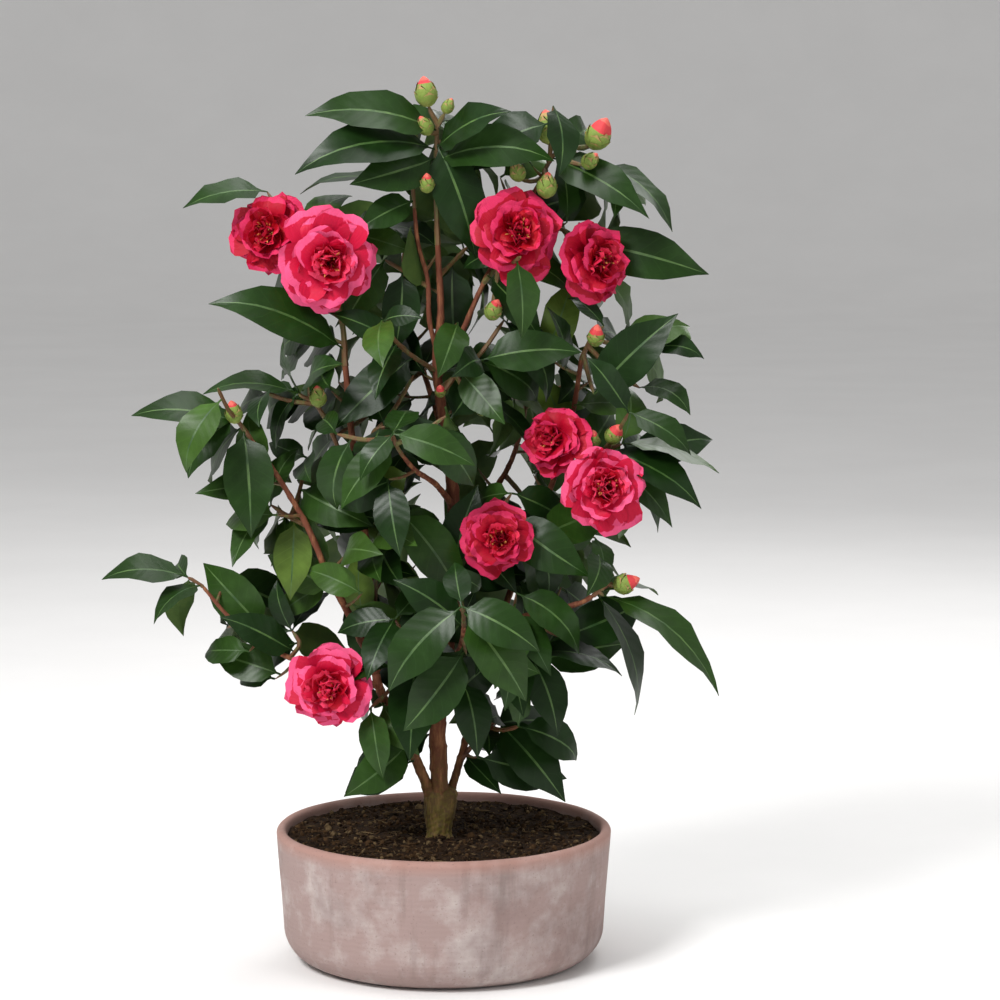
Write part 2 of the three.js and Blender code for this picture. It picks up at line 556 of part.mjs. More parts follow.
// The point at fraction t, `side` across and `lift` above the midrib's surface.
function leafPoint(leaf, t, side, lift) {
  const angle = leaf.bend * t;
  const out = leaf.radius + lift;
  const point = plus(leaf.hinge, leaf.along, out * Math.sin(angle));
  return point.addScaledVector(leaf.face, out * Math.cos(angle)).addScaledVector(leaf.across, side);
}

// The same, the other way round: where a point lies in the leaf's own arc.
function leafPlace(leaf, point) {
  const from = point.clone().sub(leaf.hinge);
  const angle = Math.atan2(from.dot(leaf.along), from.dot(leaf.face));
  const out = Math.hypot(from.dot(leaf.along), from.dot(leaf.face));
  return { t: angle / leaf.bend, side: from.dot(leaf.across), lift: out - leaf.radius };
}

// A leaf from a root to a named tip, its face turned towards `facing`.
function leafToTip(root, tip, facing, bend) {
  const chord = tip.clone().sub(root);
  const length = (chord.length() * (bend / 2)) / Math.sin(bend / 2);
  const ahead = chord.normalize();
  const square = squareTo(facing, ahead);
  const along = ahead.clone().multiplyScalar(Math.cos(bend / 2)).addScaledVector(square, Math.sin(bend / 2));
  const face = square.clone().multiplyScalar(Math.cos(bend / 2)).addScaledVector(ahead, -Math.sin(bend / 2));
  return makeLeaf(root, along, face, length, bend);
}

// Points all over the blade, its tip last, which stand for it in every test.
function leafSamples(leaf) {
  const samples = SAMPLES.along.flatMap((t) => SAMPLES.across.map((share) => {
    const side = share * halfWidth(leaf.length, t);
    return leafPoint(leaf, t, side, Math.abs(side) * Math.tan(LEAF.fold));
  }));
  return [...samples, leafPoint(leaf, 1, 0, 0)];
}

const pastRows = (samples, rows) => samples.slice(rows * SAMPLES.across.length);

// A blade with a flat upper face and a keel under the midrib.
function leafGeometry(leaf) {
  const rings = LEAF.stations.map((t, i) => {
    const wide = i < 2 ? LEAF.stalk : halfWidth(leaf.length, t);
    const keel = i < 2 ? 1.5 * LEAF.stalk : LEAF.thickness;
    return [[-wide, keel / 3], [wide, keel / 3], [0, (-2 * keel) / 3]].map(
      ([side, lift]) => leafPoint(leaf, t, side, lift));
  });
  return loft([...rings, [leafPoint(leaf, 1, 0, 0)]]);
}

// Blooms and buds

const BLOOM_TIERS = [
  // share of the radius, petals, and share of the radius up from the middle: foot, rim, top
  { radius: 1, petals: 8, foot: -0.36, rim: 0, top: 0.14 },
  { radius: 0.7, petals: 6, foot: -0.12, rim: 0.28, top: 0.3 },
];

// The unit vector a bloom or bud faces, and two square to it.
function facingFrame(facing) {
  const out = vector(facing).normalize();
  const side = squareTo(UP, out);
  return { out, side, across: new THREE.Vector3().crossVectors(out, side) };
}

// One tier of petals: a shallow cup whose rim runs in and out between the petals.
function tierGeometry(bloom, tier, index) {
  const { out, side, across } = facingFrame(bloom.facing);
  const radius = (bloom.width / 2) * tier.radius;
  const centre = vector(bloom.centre);
  const count = 2 * tier.petals;
  const rim = Array.from({ length: count }, (_, k) => {
    const angle = (2 * Math.PI * (k + index)) / count;
    const reach = radius * (k % 2 ? 0.9 : 1);
    const height = (bloom.width / 2) * (tier.rim + (k % 2 ? 0.1 : 0));
    return plus(plus(plus(centre, side, reach * Math.cos(angle)), across, reach * Math.sin(angle)),
      out, height);
  });
  const tip = (share) => [plus(centre, out, (bloom.width / 2) * share)];
  return loft([tip(tier.foot), rim, tip(tier.top)]);
}

function bloomSolid(bloom) {
  return wasm.Manifold.union(BLOOM_TIERS.map((tier, index) => solidOf(tierGeometry(bloom, tier, index))));
}

// A bud: an egg with its narrow end forward.
function budGeometry(middle, toward, size) {
  const { out, side, across } = facingFrame(toward);
  const stations = [[-0.5, 0.16], [-0.22, 0.35], [0.2, 0.32]];
  const rings = stations.map(([forward, share]) => Array.from({ length: 5 }, (_, k) => {
    const angle = (2 * Math.PI * k) / 5;
    const point = plus(middle, out, forward * size);
    return plus(plus(point, side, share * size * Math.cos(angle)), across, share * size * Math.sin(angle));
  }));
  return loft([...rings, [plus(middle, out, 0.5 * size)]]);
}

// The growing rule

// A shoot: a curve with its radii, cut into short straight pieces for the tests.
function makeShoot(points, radii, sides) {
  const curve = curveThrough(points);
  const pieces = MARKS * (points.length - 1);
  const marks = Array.from({ length: pieces + 1 }, (_, i) => curve.getPoint(i / pieces));
  return { curve, radii, sides, marks, length: curve.getLength(), steps: points.length - 1 };
}

const limbShoots = Object.fromEntries(
  LIMBS.map((limb) => [limb.name, makeShoot(limb.path.map(vector), limb.radii, LIMB_SIDES)]));

// A mass's stem goes on from its limb's tip, or leaves the limb as thin as a twig.
function massStem(mass) {
  const limb = limbShoots[mass.limb];
  const atTip = mass.at === 1;
  const start = limb.curve.getPoint(atTip ? 0.99 : mass.at);
  const radii = [atTip ? limb.radii[1] - 0.1 : TWIG.radius[0], TWIG.radius[1] + 0.1];
  return makeShoot([start, ...mass.stem.map(vector)], radii, STEM_SIDES);
}

// A twig that leaves a shoot at fraction `at` and ends at a point, sagging a little.
function twigTo(shoot, at, end) {
  const start = shoot.curve.getPoint(at);
  const middle = start.clone().lerp(end, 0.5).addScaledVector(UP, -TWIG.sag * start.distanceTo(end));
  return makeShoot([start, middle, end], TWIG.radius, TWIG.sides);
}

// Side twigs by the rule: turned by the golden angle, leaning forward, towards the space's middle.
function sideTwigs(mass, massIndex, stem) {
  return Array.from({ length: mass.twigs }, (_, i) => {
    const draw = seeded(massIndex, TWIG.seed + i);
    const at = SIDE_TWIG.from + (SIDE_TWIG.over * (i + 0.5)) / mass.twigs;
    const start = stem.curve.getPoint(at);
    const along = stem.curve.getTangent(at);
    const side = squareTo(FRONT, along);
    const across = new THREE.Vector3().crossVectors(along, side);
    const angle = i * GOLDEN_TURN + massIndex + draw(...SIDE_TWIG.turn);
    const inward = vector(mass.space.centre).sub(start).normalize();
    const direction = side.multiplyScalar(Math.cos(angle)).addScaledVector(across, Math.sin(angle))
      .addScaledVector(along, SIDE_TWIG.forward).addScaledVector(inward, SIDE_TWIG.inward)
      .addScaledVector(UP, SIDE_TWIG.rise).normalize();
    return twigTo(stem, at, plus(start, direction, draw(...TWIG.length)));
  });
}

// What grows at the named reaches of a mass.
function growReach(mass, stem, reach) {
  const start = stem.curve.getPoint(reach.at);
  if (reach.kind === 'leaf') {
    const tip = vector(reach.tip);
    const share = 1 - LEAF.longest / start.distanceTo(tip);
    const end = reach.root ? vector(reach.root) : share > 0 ? start.clone().lerp(tip, share) : null;
    const twig = end ? twigTo(stem, reach.at, end) : null;
    const root = end ?? start;
    return { twig, leaf: leafToTip(root, tip, vector(reach.facing).normalize(), radians(reach.bend)) };
  }
  if (reach.kind === 'bloom') {
    const bloom = BLOOMS[reach.bloom];
    const back = plus(vector(bloom.centre), vector(bloom.facing).normalize(), -0.12 * bloom.width);
    return { twig: twigTo(stem, reach.at, back), bloom };
  }
  const bud = { middle: vector(reach.middle), toward: reach.toward, size: reach.size };
  const foot = plus(bud.middle, vector(bud.toward).normalize(), -0.4 * bud.size);
  return { twig: twigTo(stem, reach.at, foot), bud };
}

// A leaf by the rule: outward from its shoot, its face up and outward, and forward in the front half.
function ruleLeaf(shoot, at, index, draw, turn, shrink) {
  const root = shoot.curve.getPoint(at);
  const along = shoot.curve.getTangent(at);
  const side = squareTo(Math.abs(along.x) < 0.8 ? new THREE.Vector3(1, 0, 0) : UP, along);
  const across = new THREE.Vector3().crossVectors(along, side);
  const angle = index * LEAF.turn + turn;
  const away = side.multiplyScalar(Math.cos(angle)).addScaledVector(across, Math.sin(angle));
  const outward = new THREE.Vector3(root.x, root.y, 0).normalize();
  const direction = away.addScaledVector(along, draw.forward).addScaledVector(outward, LEAF_WAY.outward)
    .addScaledVector(UP, draw.rise).normalize();
  const forward = root.y < LEAF_FACE.frontBefore ? LEAF_FACE.front : 0;
  const face = squareTo(UP.clone().multiplyScalar(LEAF_FACE.up).addScaledVector(outward, LEAF_FACE.outward)
    .addScaledVector(FRONT, forward).addScaledVector(across, draw.tilt), direction);
  return makeLeaf(root, direction, face, draw.length * shrink, radians(draw.bend));
}

function insideSpace(space, point) {
  const [x, y, z] = point.toArray().map((value, i) => (value - space.centre[i]) / space.radii[i]);
  return x * x + y * y + z * z <= 1;
}

// Lines kept free, as segments with a radius.
const freeLines = [
  ...OPENINGS.map(([x, y, z, radius]) => {
    const middle = new THREE.Vector3(x, y, z);
    return { start: plus(middle, SIGHT, -OPENING_REACH), end: plus(middle, SIGHT, OPENING_REACH), radius };
  }),
  ...SHOWN.flatMap(({ from, to, radius }) => {
    const count = Math.ceil(vector(from).distanceTo(vector(to)) / (1.6 * radius));
    return Array.from({ length: count + 1 }, (_, i) => {
      const start = vector(from).lerp(vector(to), i / count);
      return { start, end: plus(start, SIGHT, SHOWN_REACH), radius };
    });
  }),
  ...Object.values(BLOOMS).map((bloom) => {
    const start = plus(vector(bloom.centre), SIGHT, 0.15 * bloom.width);
    return { start, end: plus(start, SIGHT, SHOWN_REACH), radius: 0.42 * bloom.width };
  }),
];

function nearShoot(point, { marks, radii }, clearance) {
  const last = marks.length - 1;
  return marks.slice(0, last).some((mark, i) => {
    const radius = THREE.MathUtils.lerp(radii[0], radii[1], i / last);
    return distanceToSegment(point, mark, marks[i + 1]) < radius + clearance;
  });
}

function nearBloom(point, bloom) {
  const { out } = facingFrame(bloom.facing);
  const from = point.clone().sub(vector(bloom.centre));
  const height = from.dot(out);
  const across = Math.sqrt(Math.max(0, from.lengthSq() - height * height));
  return Math.hypot(across / (0.5 * bloom.width + CLEARANCE), height / (0.28 * bloom.width + CLEARANCE)) < 1;
}

function leavesTouch(leaf, samples, other) {
  return samples.some((point) => {
    const place = leafPlace(other, point);
    if (place.t < 0.05 || place.t > 1 + CLEARANCE / other.length) return false;
    if (Math.abs(place.side) > halfWidth(other.length, Math.min(place.t, 0.97)) + CLEARANCE) return false;
    return Math.abs(place.lift - Math.abs(place.side) * Math.tan(LEAF.fold)) < CLEARANCE;
  });
}

// Whether a leaf is free of everything that stands already.
function leafIsFree(leaf, samples, ownShoot, grown) {
  const outer = pastRows(samples, 1);
  if (samples.some((point) => point.z < BOWL.height + LEAF_LOWEST)) return false;
  const limbs = Object.values(limbShoots);
  if (samples.some((point) => limbs.some((limb) => nearShoot(point, limb, CLEARANCE)))) return false;
  for (const shoot of grown.shoots) {
    const tested = shoot === ownShoot ? pastRows(outer, 1) : outer;
    if (tested.some((point) => nearShoot(point, shoot, TWIG_CLEARANCE))) return false;
  }
  if (outer.some((point) => grown.blooms.some((bloom) => nearBloom(point, bloom)))) return false;
  if (outer.some((point) => grown.buds.some((bud) => point.distanceTo(bud.middle) < 0.5 * bud.size))) {
    return false;
  }
  return !grown.leaves.some((other) => leavesTouch(leaf, samples, other)
    || leavesTouch(other, other.samples, leaf));
}

function growMasses() {
  const grown = { shoots: [], blooms: [], buds: [], leaves: [] };
  const masses = MASSES.map((mass, index) => {
    const stem = massStem(mass);
    return { mass, index, stem, shoots: [stem, ...sideTwigs(mass, index, stem)], blooms: [], buds: [],
      leaves: [] };
  });
  for (const plan of masses) {
    for (const reach of plan.mass.reaches) {
      const { twig, leaf, bloom, bud } = growReach(plan.mass, plan.stem, reach);
      if (twig) {
        twig.bare = true;
        plan.shoots.push(twig);
      }
      if (leaf) plan.leaves.push({ ...leaf, samples: leafSamples(leaf) });
      if (bloom) plan.blooms.push(bloom);
      if (bud) plan.buds.push(bud);
    }
    grown.shoots.push(...plan.shoots);
    grown.blooms.push(...plan.blooms);
    grown.buds.push(...plan.buds);
    grown.leaves.push(...plan.leaves);
  }
  for (const plan of masses) growRuleLeaves(plan, grown);
  return masses;
}

// Leaves along the stem and the side twigs of a mass. A side twig that gets none is left out.
function growRuleLeaves(plan, grown) {
  plan.shoots.filter((shoot) => !shoot.bare).forEach((shoot, shootIndex) => {
    const count = Math.max(2, Math.floor((LEAF.cover * shoot.length) / LEAF.spacing));
    let found = 0;
    for (let i = 0; i < count; i++) {
      const number = seeded(plan.index, shootIndex, i);
      const draw = { forward: number(...LEAF_WAY.forward), rise: number(...LEAF_WAY.rise),
        tilt: number(...LEAF_FACE.tilt), length: number(...LEAF.length), bend: number(...LEAF.bend) };
      const turn = number(...LEAF_WAY.turn);
      const at = 1 - (i * LEAF.spacing) / shoot.length;
      const leaf = firstFreeLeaf(plan, shoot, at, i, draw, turn, grown);
      if (leaf) {
        found += 1;
        plan.leaves.push(leaf);
        grown.leaves.push(leaf);
      }
    }
    if (!found && shoot !== plan.stem) plan.shoots = plan.shoots.filter((other) => other !== shoot);
  });
}

function firstFreeLeaf(plan, shoot, at, index, draw, turn, grown) {
  for (const shrink of SHRINKS) {
    for (const degrees of TRIES) {
      const leaf = ruleLeaf(shoot, at, index, draw, turn + radians(degrees), shrink);
      const samples = leafSamples(leaf);
      const outer = pastRows(samples, 3);
      if (!outer.every((point) => insideSpace(plan.mass.space, point))) continue;
      if (outer.some((point) => freeLines.some(
        (line) => distanceToSegment(point, line.start, line.end) < line.radius))) continue;
      if (leafIsFree(leaf, samples, shoot, grown)) return { ...leaf, samples };
    }
  }
  return null;
}

// Building the solids

const materials = {
  terracotta: new THREE.MeshStandardMaterial({ color: 0xb39a92, roughness: 0.9, metalness: 0 }),
  compost: new THREE.MeshStandardMaterial({ color: 0x3a2c22, roughness: 1, metalness: 0 }),
  oldBark: new THREE.MeshStandardMaterial({ color: 0x7a5a2c, roughness: 0.9, metalness: 0 }),
  youngBark: new THREE.MeshStandardMaterial({ color: 0x74462c, roughness: 0.7, metalness: 0 }),
  foliage: new THREE.MeshStandardMaterial({ color: 0x24502a, roughness: 0.35, metalness: 0 }),
};

function addMesh(group, name, geometry, material) {
  const mesh = new THREE.Mesh(geometry, material);
  mesh.name = name;
  group.add(mesh);
}

// Each limb less the limbs before it, grown by the gap that is left where they meet.
function limbSolids() {
  const solids = { trunk: solidOf(trunkGeometry()) };
  let standing = solidOf(trunkGeometry(GAP));
  for (const limb of LIMBS) {
    solids[limb.name] = mainBody(solidOf(limbGeometry(limb)).subtract(standing));
    standing = settled(standing.add(solidOf(limbGeometry(limb, GAP))));
  }
  return { solids, standing };
}

const shootSolid = (shoot) => solidOf(tubeGeometry(shoot.curve, shoot.radii, shoot.sides, shoot.steps));

// One mass: its shoots, blooms and buds, then every leaf that clears what stands already.
function massSolid(plan, standing) {
  const parts = [
    ...plan.shoots.map(shootSolid),
    ...plan.blooms.map(bloomSolid),
    ...plan.buds.map((bud) => solidOf(budGeometry(bud.middle, bud.toward, bud.size))),
    ...plan.leaves.map((leaf) => solidOf(leafGeometry(leaf)))
      .filter((solid) => solid.intersect(standing).volume() < 1e-6),
  ];
  return mainBody(wasm.Manifold.union(parts).subtract(standing));
}

function buildShrub() {
  const shrub = new THREE.Group();
  addMesh(shrub, 'planter', bowlGeometry(), materials.terracotta);
  addMesh(shrub, 'soil', soilGeometry(), materials.compost);
  const { solids, standing: grownLimbs } = limbSolids();
  const tree = new THREE.Group();
  for (const [name, solid] of Object.entries(solids)) {
    addMesh(tree, name, geometryOf(solid), name === 'trunk' ? materials.oldBark : materials.youngBark);
  }
  let standing = grownLimbs;
  for (const plan of growMasses()) {
    const solid = settled(massSolid(plan, standing));
    standing = settled(standing.add(solid));
    addMesh(tree, plan.mass.name, geometryOf(solid), materials.foliage);
  }
  shrub.add(tree);
  return shrub;
}

export default buildShrub();
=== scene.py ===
"""A young camellia shrub in full bloom, planted in a low round terracotta bowl.

The plan of the plant is in millimetres, +Z up and -Y the front, and the origin is the middle of the
bowl's flat underside. Limbs, twigs and leaves grow by the same seeded rule as the solids they stand
for, carried on to finer twigs. A mesh gets its points in metres, in place.
"""

import logging
import math
from dataclasses import dataclass, field
from enum import Enum
from typing import Callable, Optional, Sequence, Union

import bpy
import numpy as np
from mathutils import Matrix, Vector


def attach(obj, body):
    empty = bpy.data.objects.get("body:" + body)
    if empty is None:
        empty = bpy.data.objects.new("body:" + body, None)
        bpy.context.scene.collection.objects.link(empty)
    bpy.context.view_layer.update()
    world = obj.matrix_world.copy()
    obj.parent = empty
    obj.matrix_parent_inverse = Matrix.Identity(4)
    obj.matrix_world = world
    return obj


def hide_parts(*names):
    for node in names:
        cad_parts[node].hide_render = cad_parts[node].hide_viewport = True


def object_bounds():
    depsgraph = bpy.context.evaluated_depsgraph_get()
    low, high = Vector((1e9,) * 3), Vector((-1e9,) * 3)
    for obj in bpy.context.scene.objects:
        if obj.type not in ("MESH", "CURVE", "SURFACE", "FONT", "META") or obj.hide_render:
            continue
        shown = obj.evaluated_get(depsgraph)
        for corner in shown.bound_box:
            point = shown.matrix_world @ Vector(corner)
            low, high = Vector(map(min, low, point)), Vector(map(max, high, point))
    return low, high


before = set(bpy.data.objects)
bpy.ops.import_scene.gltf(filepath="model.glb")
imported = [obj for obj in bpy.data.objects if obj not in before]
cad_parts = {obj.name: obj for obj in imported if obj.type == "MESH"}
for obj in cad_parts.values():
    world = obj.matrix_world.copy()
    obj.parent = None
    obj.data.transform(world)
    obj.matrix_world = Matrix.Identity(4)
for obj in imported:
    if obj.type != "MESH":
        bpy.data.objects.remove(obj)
CAD_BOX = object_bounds()

log = logging.getLogger("camellia")

Array = np.ndarray
Triple = Sequence[float]
Span = tuple[float, float]
Colour = tuple[int, int, int]
Test = Callable[[Array], Array]
Socket = bpy.types.NodeSocket
Material = bpy.types.Material
Piece = bpy.types.Object

MM = 0.001
UP = np.array([0.0, 0.0, 1.0])
FRONT = np.array([0.0, -1.0, 0.0])
SIDEWAYS = np.array([1.0, 0.0, 0.0])
SIGHT = np.array([0.0, -0.987, 0.16])
STEEP = 0.8
GOLDEN_TURN = math.radians(137.5)
SHARP = math.radians(50)


# Vectors, curves and seeded numbers


def unit(vectors: Array) -> Array:
    """The vectors at length one."""
    return vectors / np.linalg.norm(vectors, axis=-1, keepdims=True)


def square_to(direction: Array, axis: Array) -> Array:
    """The part of a direction square to a unit axis, at length one."""
    return unit(direction - np.sum(direction * axis, axis=-1, keepdims=True) * axis)


def beside(along: Array) -> Array:
    """A way square to a unit direction: sideways, or up where that lies near the direction."""
    return square_to(SIDEWAYS if abs(along[0]) < STEEP else UP, along)


def mix(low: float, high: float, share: Union[float, Array]) -> Union[float, Array]:
    """The value at a share of the way from low to high."""
    return low + (high - low) * share


def circle(sides: int) -> Array:
    """The points of a unit circle, two numbers each."""
    angle = 2 * math.pi * np.arange(sides) / sides
    return np.stack([np.cos(angle), np.sin(angle)], -1)


def turned(radii: Array, heights: Array, sides: int) -> Array:
    """The skin of a turned body: a ring of points at each radius and height.

    Args:
        radii: the radius of each ring.
        heights: its height.
        sides: points a ring.

    Returns:
        The points, rings by sides by 3.
    """
    skin = np.empty((len(radii), sides, 3))
    skin[..., :2] = radii[:, None, None] * circle(sides)
    skin[..., 2] = heights[:, None]
    return skin


class SeededNumbers:
    """Mulberry32: the same run of numbers for the same seed."""

    MASK = 0xFFFFFFFF
    FIRST, FACTOR, ADDEND = 17, 7919, 0x6D2B79F5

    def __init__(self, *parts: int) -> None:
        """Starts a run.

        Args:
            parts: whole numbers that together are the seed.
        """
        self.state = self.FIRST
        for part in parts:
            self.state = (self.state * self.FACTOR + part + 1) & self.MASK

    def between(self, low: float, high: float) -> float:
        """The next number of the run, from low up to high.

        Args:
            low: the least it can be.
            high: what it stays under.

        Returns:
            The number.
        """
        self.state = (self.state + self.ADDEND) & self.MASK
        mixed = (self.state ^ (self.state >> 15)) * (self.state | 1) & self.MASK
        mixed ^= (mixed + ((mixed ^ (mixed >> 7)) * (mixed | 61) & self.MASK)) & self.MASK
        return low + (high - low) * ((mixed ^ (mixed >> 14)) / (self.MASK + 1))


class Curve:
    """A uniform Catmull-Rom curve through its points."""

    PROBE = 0.0001
    CHORDS = 200

    def __init__(self, points: Sequence[Triple]) -> None:
        """Keeps the points, with one more beyond each end on the straight line through the last two.

        Args:
            points: what it passes through.
        """
        inner = np.array(points, float)
        self.points = np.vstack([2 * inner[:1] - inner[1:2], inner, 2 * inner[-1:] - inner[-2:-1]])
        self.spans = len(inner) - 1

    def point(self, share: Union[float, Array]) -> Array:
        """Points at shares of the curve from 0 to 1: a cubic in each span with half-chord tangents.

        Args:
            share: from 0 to 1.

        Returns:
            The points.
        """
        place = np.clip(np.asarray(share, float), 0, 1) * self.spans
        span = np.minimum(place.astype(int), self.spans - 1)
        w = (place - span)[..., None]
        before, start, end, after = (self.points[span + k] for k in range(4))
        leave, arrive = 0.5 * (end - before), 0.5 * (after - start)
        square = -3 * start + 3 * end - 2 * leave - arrive
        cube = 2 * start - 2 * end + leave + arrive
        return start + w * (leave + w * (square + w * cube))

    def tangent(self, share: Union[float, Array]) -> Array:
        """Unit directions at shares of the curve, from two points close by.

        Args:
            share: from 0 to 1.

        Returns:
            The directions.
        """
        share = np.asarray(share, float)
        ahead, behind = np.minimum(share + self.PROBE, 1), np.maximum(share - self.PROBE, 0)
        return unit(self.point(ahead) - self.point(behind))

    def length(self) -> float:
        """The curve's length, from many short chords."""
        marks = self.point(np.linspace(0, 1, self.CHORDS + 1))
        return float(np.linalg.norm(np.diff(marks, axis=0), axis=1).sum())


def ripple(points: Array, wavelength: float, seed: int, layers: int = 3) -> Array:
    """A smooth uneven field: in each layer six sine waves in seeded directions are summed, and each
    layer has half the wavelength and half the height of the one before.

    Args:
        points: places, three numbers each.
        wavelength: length of the first layer's waves, in the points' unit.
        seed: which field.
        layers: how many layers.

    Returns:
        One number a place, mostly between -1 and 1.
    """
    rng = np.random.default_rng(seed)
    total = np.zeros(points.shape[:-1])
    for layer in range(layers):
        ways = unit(rng.normal(size=(6, 3))) * (2 * math.pi * 2**layer / wavelength)
        phases = rng.uniform(0, 2 * math.pi, 6)
        total += np.sin(points @ ways.T + phases).sum(-1) / (3.0 * 2**layer)
    return total


# The plan of the plant


@dataclass(frozen=True)
class Limb:
    """A stem or bough: its name, the radius at each end, and the points of its path."""

    name: str
    radii: Span
    path: Sequence[Triple]


@dataclass(frozen=True)
class Bloom:
    """A flower: its centre, its diameter, the way it faces, and whether its petals are a bright pink."""

    centre: Triple
    width: float
    facing: Triple
    bright: bool = False


@dataclass(frozen=True)
class Space:
    """The ellipsoid that a mass of leaves keeps to."""

    centre: Triple
    radii: Triple

    def holds(self, points: Array) -> Array:
        """Which points lie inside: the squares of the scaled offsets add up to one at most."""
        return (((points - self.centre) / self.radii) ** 2).sum(-1) <= 1


class Grows(Enum):
    """What grows at a named reach."""

    LEAF = "leaf"
    BLOOM = "bloom"
    BUD = "bud"


class BudStage(Enum):
    """How far a bud has opened: the share of it that shows petals."""

    CLOSED = 0.03
    TIPPED = 0.16
    OPENING = 0.34


@dataclass(frozen=True)
class Reach:
    """Where something named grows: at a fraction of its stem, out to a place."""

    kind: Grows
    at: float
    place: Union[Triple, str]
    facing: Triple = (0, 0, 1)
    bend: float = 55
    root: Optional[Triple] = None
    size: float = 0
    stage: BudStage = BudStage.CLOSED


def leaf_to(at: float, tip: Triple, facing: Triple, bend: float = 55,
            root: Optional[Triple] = None) -> Reach:
    """A leaf out to its tip, from a twig's end where a root is named."""
    return Reach(Grows.LEAF, at, tip, facing, bend, root)


def bloom_at(at: float, bloom: str) -> Reach:
    """A bloom, by its name."""
    return Reach(Grows.BLOOM, at, bloom)


def bud_at(at: float, middle: Triple, size: float, toward: Triple = (0, 0, 1),
           stage: BudStage = BudStage.CLOSED) -> Reach:
    """A bud: its middle, its length and where it points."""
    return Reach(Grows.BUD, at, middle, toward, size=size, stage=stage)


@dataclass(frozen=True)
class Mass:
    """A mass of leaves: its stem goes on from a limb at a fraction of its length."""

    name: str
    limb: str
    at: float
    twigs: int
    stem: Sequence[Triple]
    space: Space
    reaches: Sequence[Reach]


GAP = 0.3
BOWL_HEIGHT = 134
BOWL_CLEARANCE = 6
SOIL_TOP = BOWL_HEIGHT - 8

TRUNK_FOOT = np.array([-5, -25, SOIL_TOP + GAP])
TRUNK_LEAN = np.array([3, 1])
# Height above the foot, half width and half depth of each section.
TRUNK_SECTIONS = [[0, 14.5, 13], [5, 12.5, 11.5], [13, 13, 11.5], [24, 15.5, 12],
                  [38, 16.5, 12], [46, 16.5, 11], [51, 13, 8]]

LEVEL = [0, -0.25, 1]
TILTED = [0, -0.5, 0.85]
SLANT = [0, -0.8, 0.7]
FACING = [0, -1, 0.25]
TIPPED, OPENING = BudStage.TIPPED, BudStage.OPENING

LIMBS = [
    Limb("centre_stem", (9.2, 2.6),
         [[-3, -25, 166], [-5, -22, 242], [5, -12, 325], [11, -4, 449], [2, 0, 533],
          [-6, 2, 600], [-2, 2, 655], [-5, 0, 725]]),
    Limb("left_stem", (5.4, 3),
         [[-9, -25, 162], [-30, -32, 214], [-55, -36, 262], [-68, -32, 303], [-72, -22, 392],
          [-87, -16, 502], [-97, -10, 607]]),
    Limb("right_stem", (4, 2.4),
         [[5, -23, 164], [20, -8, 214], [35, 10, 273], [62, 25, 354], [97, 30, 445],
          [125, 25, 526], [139, 5, 611]]),
    Limb("leader_twin", (2.6, 1.9),
         [[-5, 2, 612], [-13, -3, 645], [-15, -4, 687], [-24, -3, 721], [-28, 0, 758]]),
    Limb("left_outer_bough", (4, 2.2),
         [[-67, -32, 297], [-91, -46, 354], [-112, -52, 395], [-133, -57, 447], [-164, -58, 500],
          [-189, -56, 534]]),
    Limb("lower_left_bough", (3, 1.6),
         [[-62, -34, 282], [-102, -50, 297], [-147, -54, 313], [-182, -54, 331], [-213, -50, 357],
          [-238, -46, 386]]),
    Limb("right_low_bough", (3.8, 2.2),
         [[6, -11, 336], [34, -34, 345], [57, -44, 346], [82, -50, 356], [131, -54, 368],
          [150, -54, 377]]),
    Limb("right_upper_bough", (3, 2),
         [[-5, 2, 588], [17, 9, 628], [39, 15, 678], [62, 19, 722], [97, 18, 782]]),
    Limb("back_low_bough", (3.8, 2.2), [[3, -14, 305], [-18, 40, 340], [-48, 98, 368], [-70, 138, 392]]),
    Limb("back_right_bough", (3.6, 2.2), [[9, -7, 400], [38, 48, 448], [66, 100, 488], [80, 132, 524]]),
    Limb("back_high_bough", (3.2, 2), [[4, 0, 522], [-14, 42, 572], [-32, 82, 622], [-40, 102, 662]]),
    Limb("front_low_bough", (3.2, 2), [[0, -17, 285], [14, -58, 318], [20, -100, 340], [22, -122, 358]]),
    Limb("front_mid_bough", (3.2, 2), [[10, -3, 460], [-6, -44, 486], [-26, -80, 505], [-38, -100, 522]]),
]

OPENINGS = [
    [64, 0, 496, 15], [80, 0, 484, 13], [-17, 0, 470, 14], [-56, 0, 692, 9], [26, 0, 665, 8],
    [59, 0, 636, 9], [-24, 0, 582, 9], [-88, 0, 607, 8], [-14, 0, 394, 11], [56, 0, 362, 10],
    [-112, 0, 350, 13], [-104, 0, 505, 10], [78, 0, 232, 12],
]

SHOWN = [
    ([-6, -6, 640], [-6, -6, 840], 9),
    ([-28, -6, 620], [-2, -6, 560], 7),
    ([-189, -62, 530], [-120, -58, 420], 6),
    ([-225, -56, 370], [-150, -60, 315], 5),
    ([-5, -32, 150], [-5, -32, 235], 12),
]

BLOOMS = {
    "far_left": Bloom([-172, -12, 733], 88, [-0.32, -0.92, 0.12]),
    "left": Bloom([-112, -44, 706], 99, [0.1, -0.97, -0.05], bright=True),
    "right": Bloom([74, -34, 734], 92, [0.05, -0.95, 0.2]),
    "far_right": Bloom([155, -14, 706], 84, [0.55, -0.8, 0.15]),
    "side_upper": Bloom([108, -42, 530], 74, [-0.6, -0.75, 0.2]),
    "side_lower": Bloom([161, -66, 486], 88, [0.15, -0.97, 0.1], bright=True),
    "middle": Bloom([56, -84, 438], 73, [0.05, -0.98, 0.1]),
    "low_left": Bloom([-110, -86, 291], 88, [-0.1, -0.98, 0.05], bright=True),
}

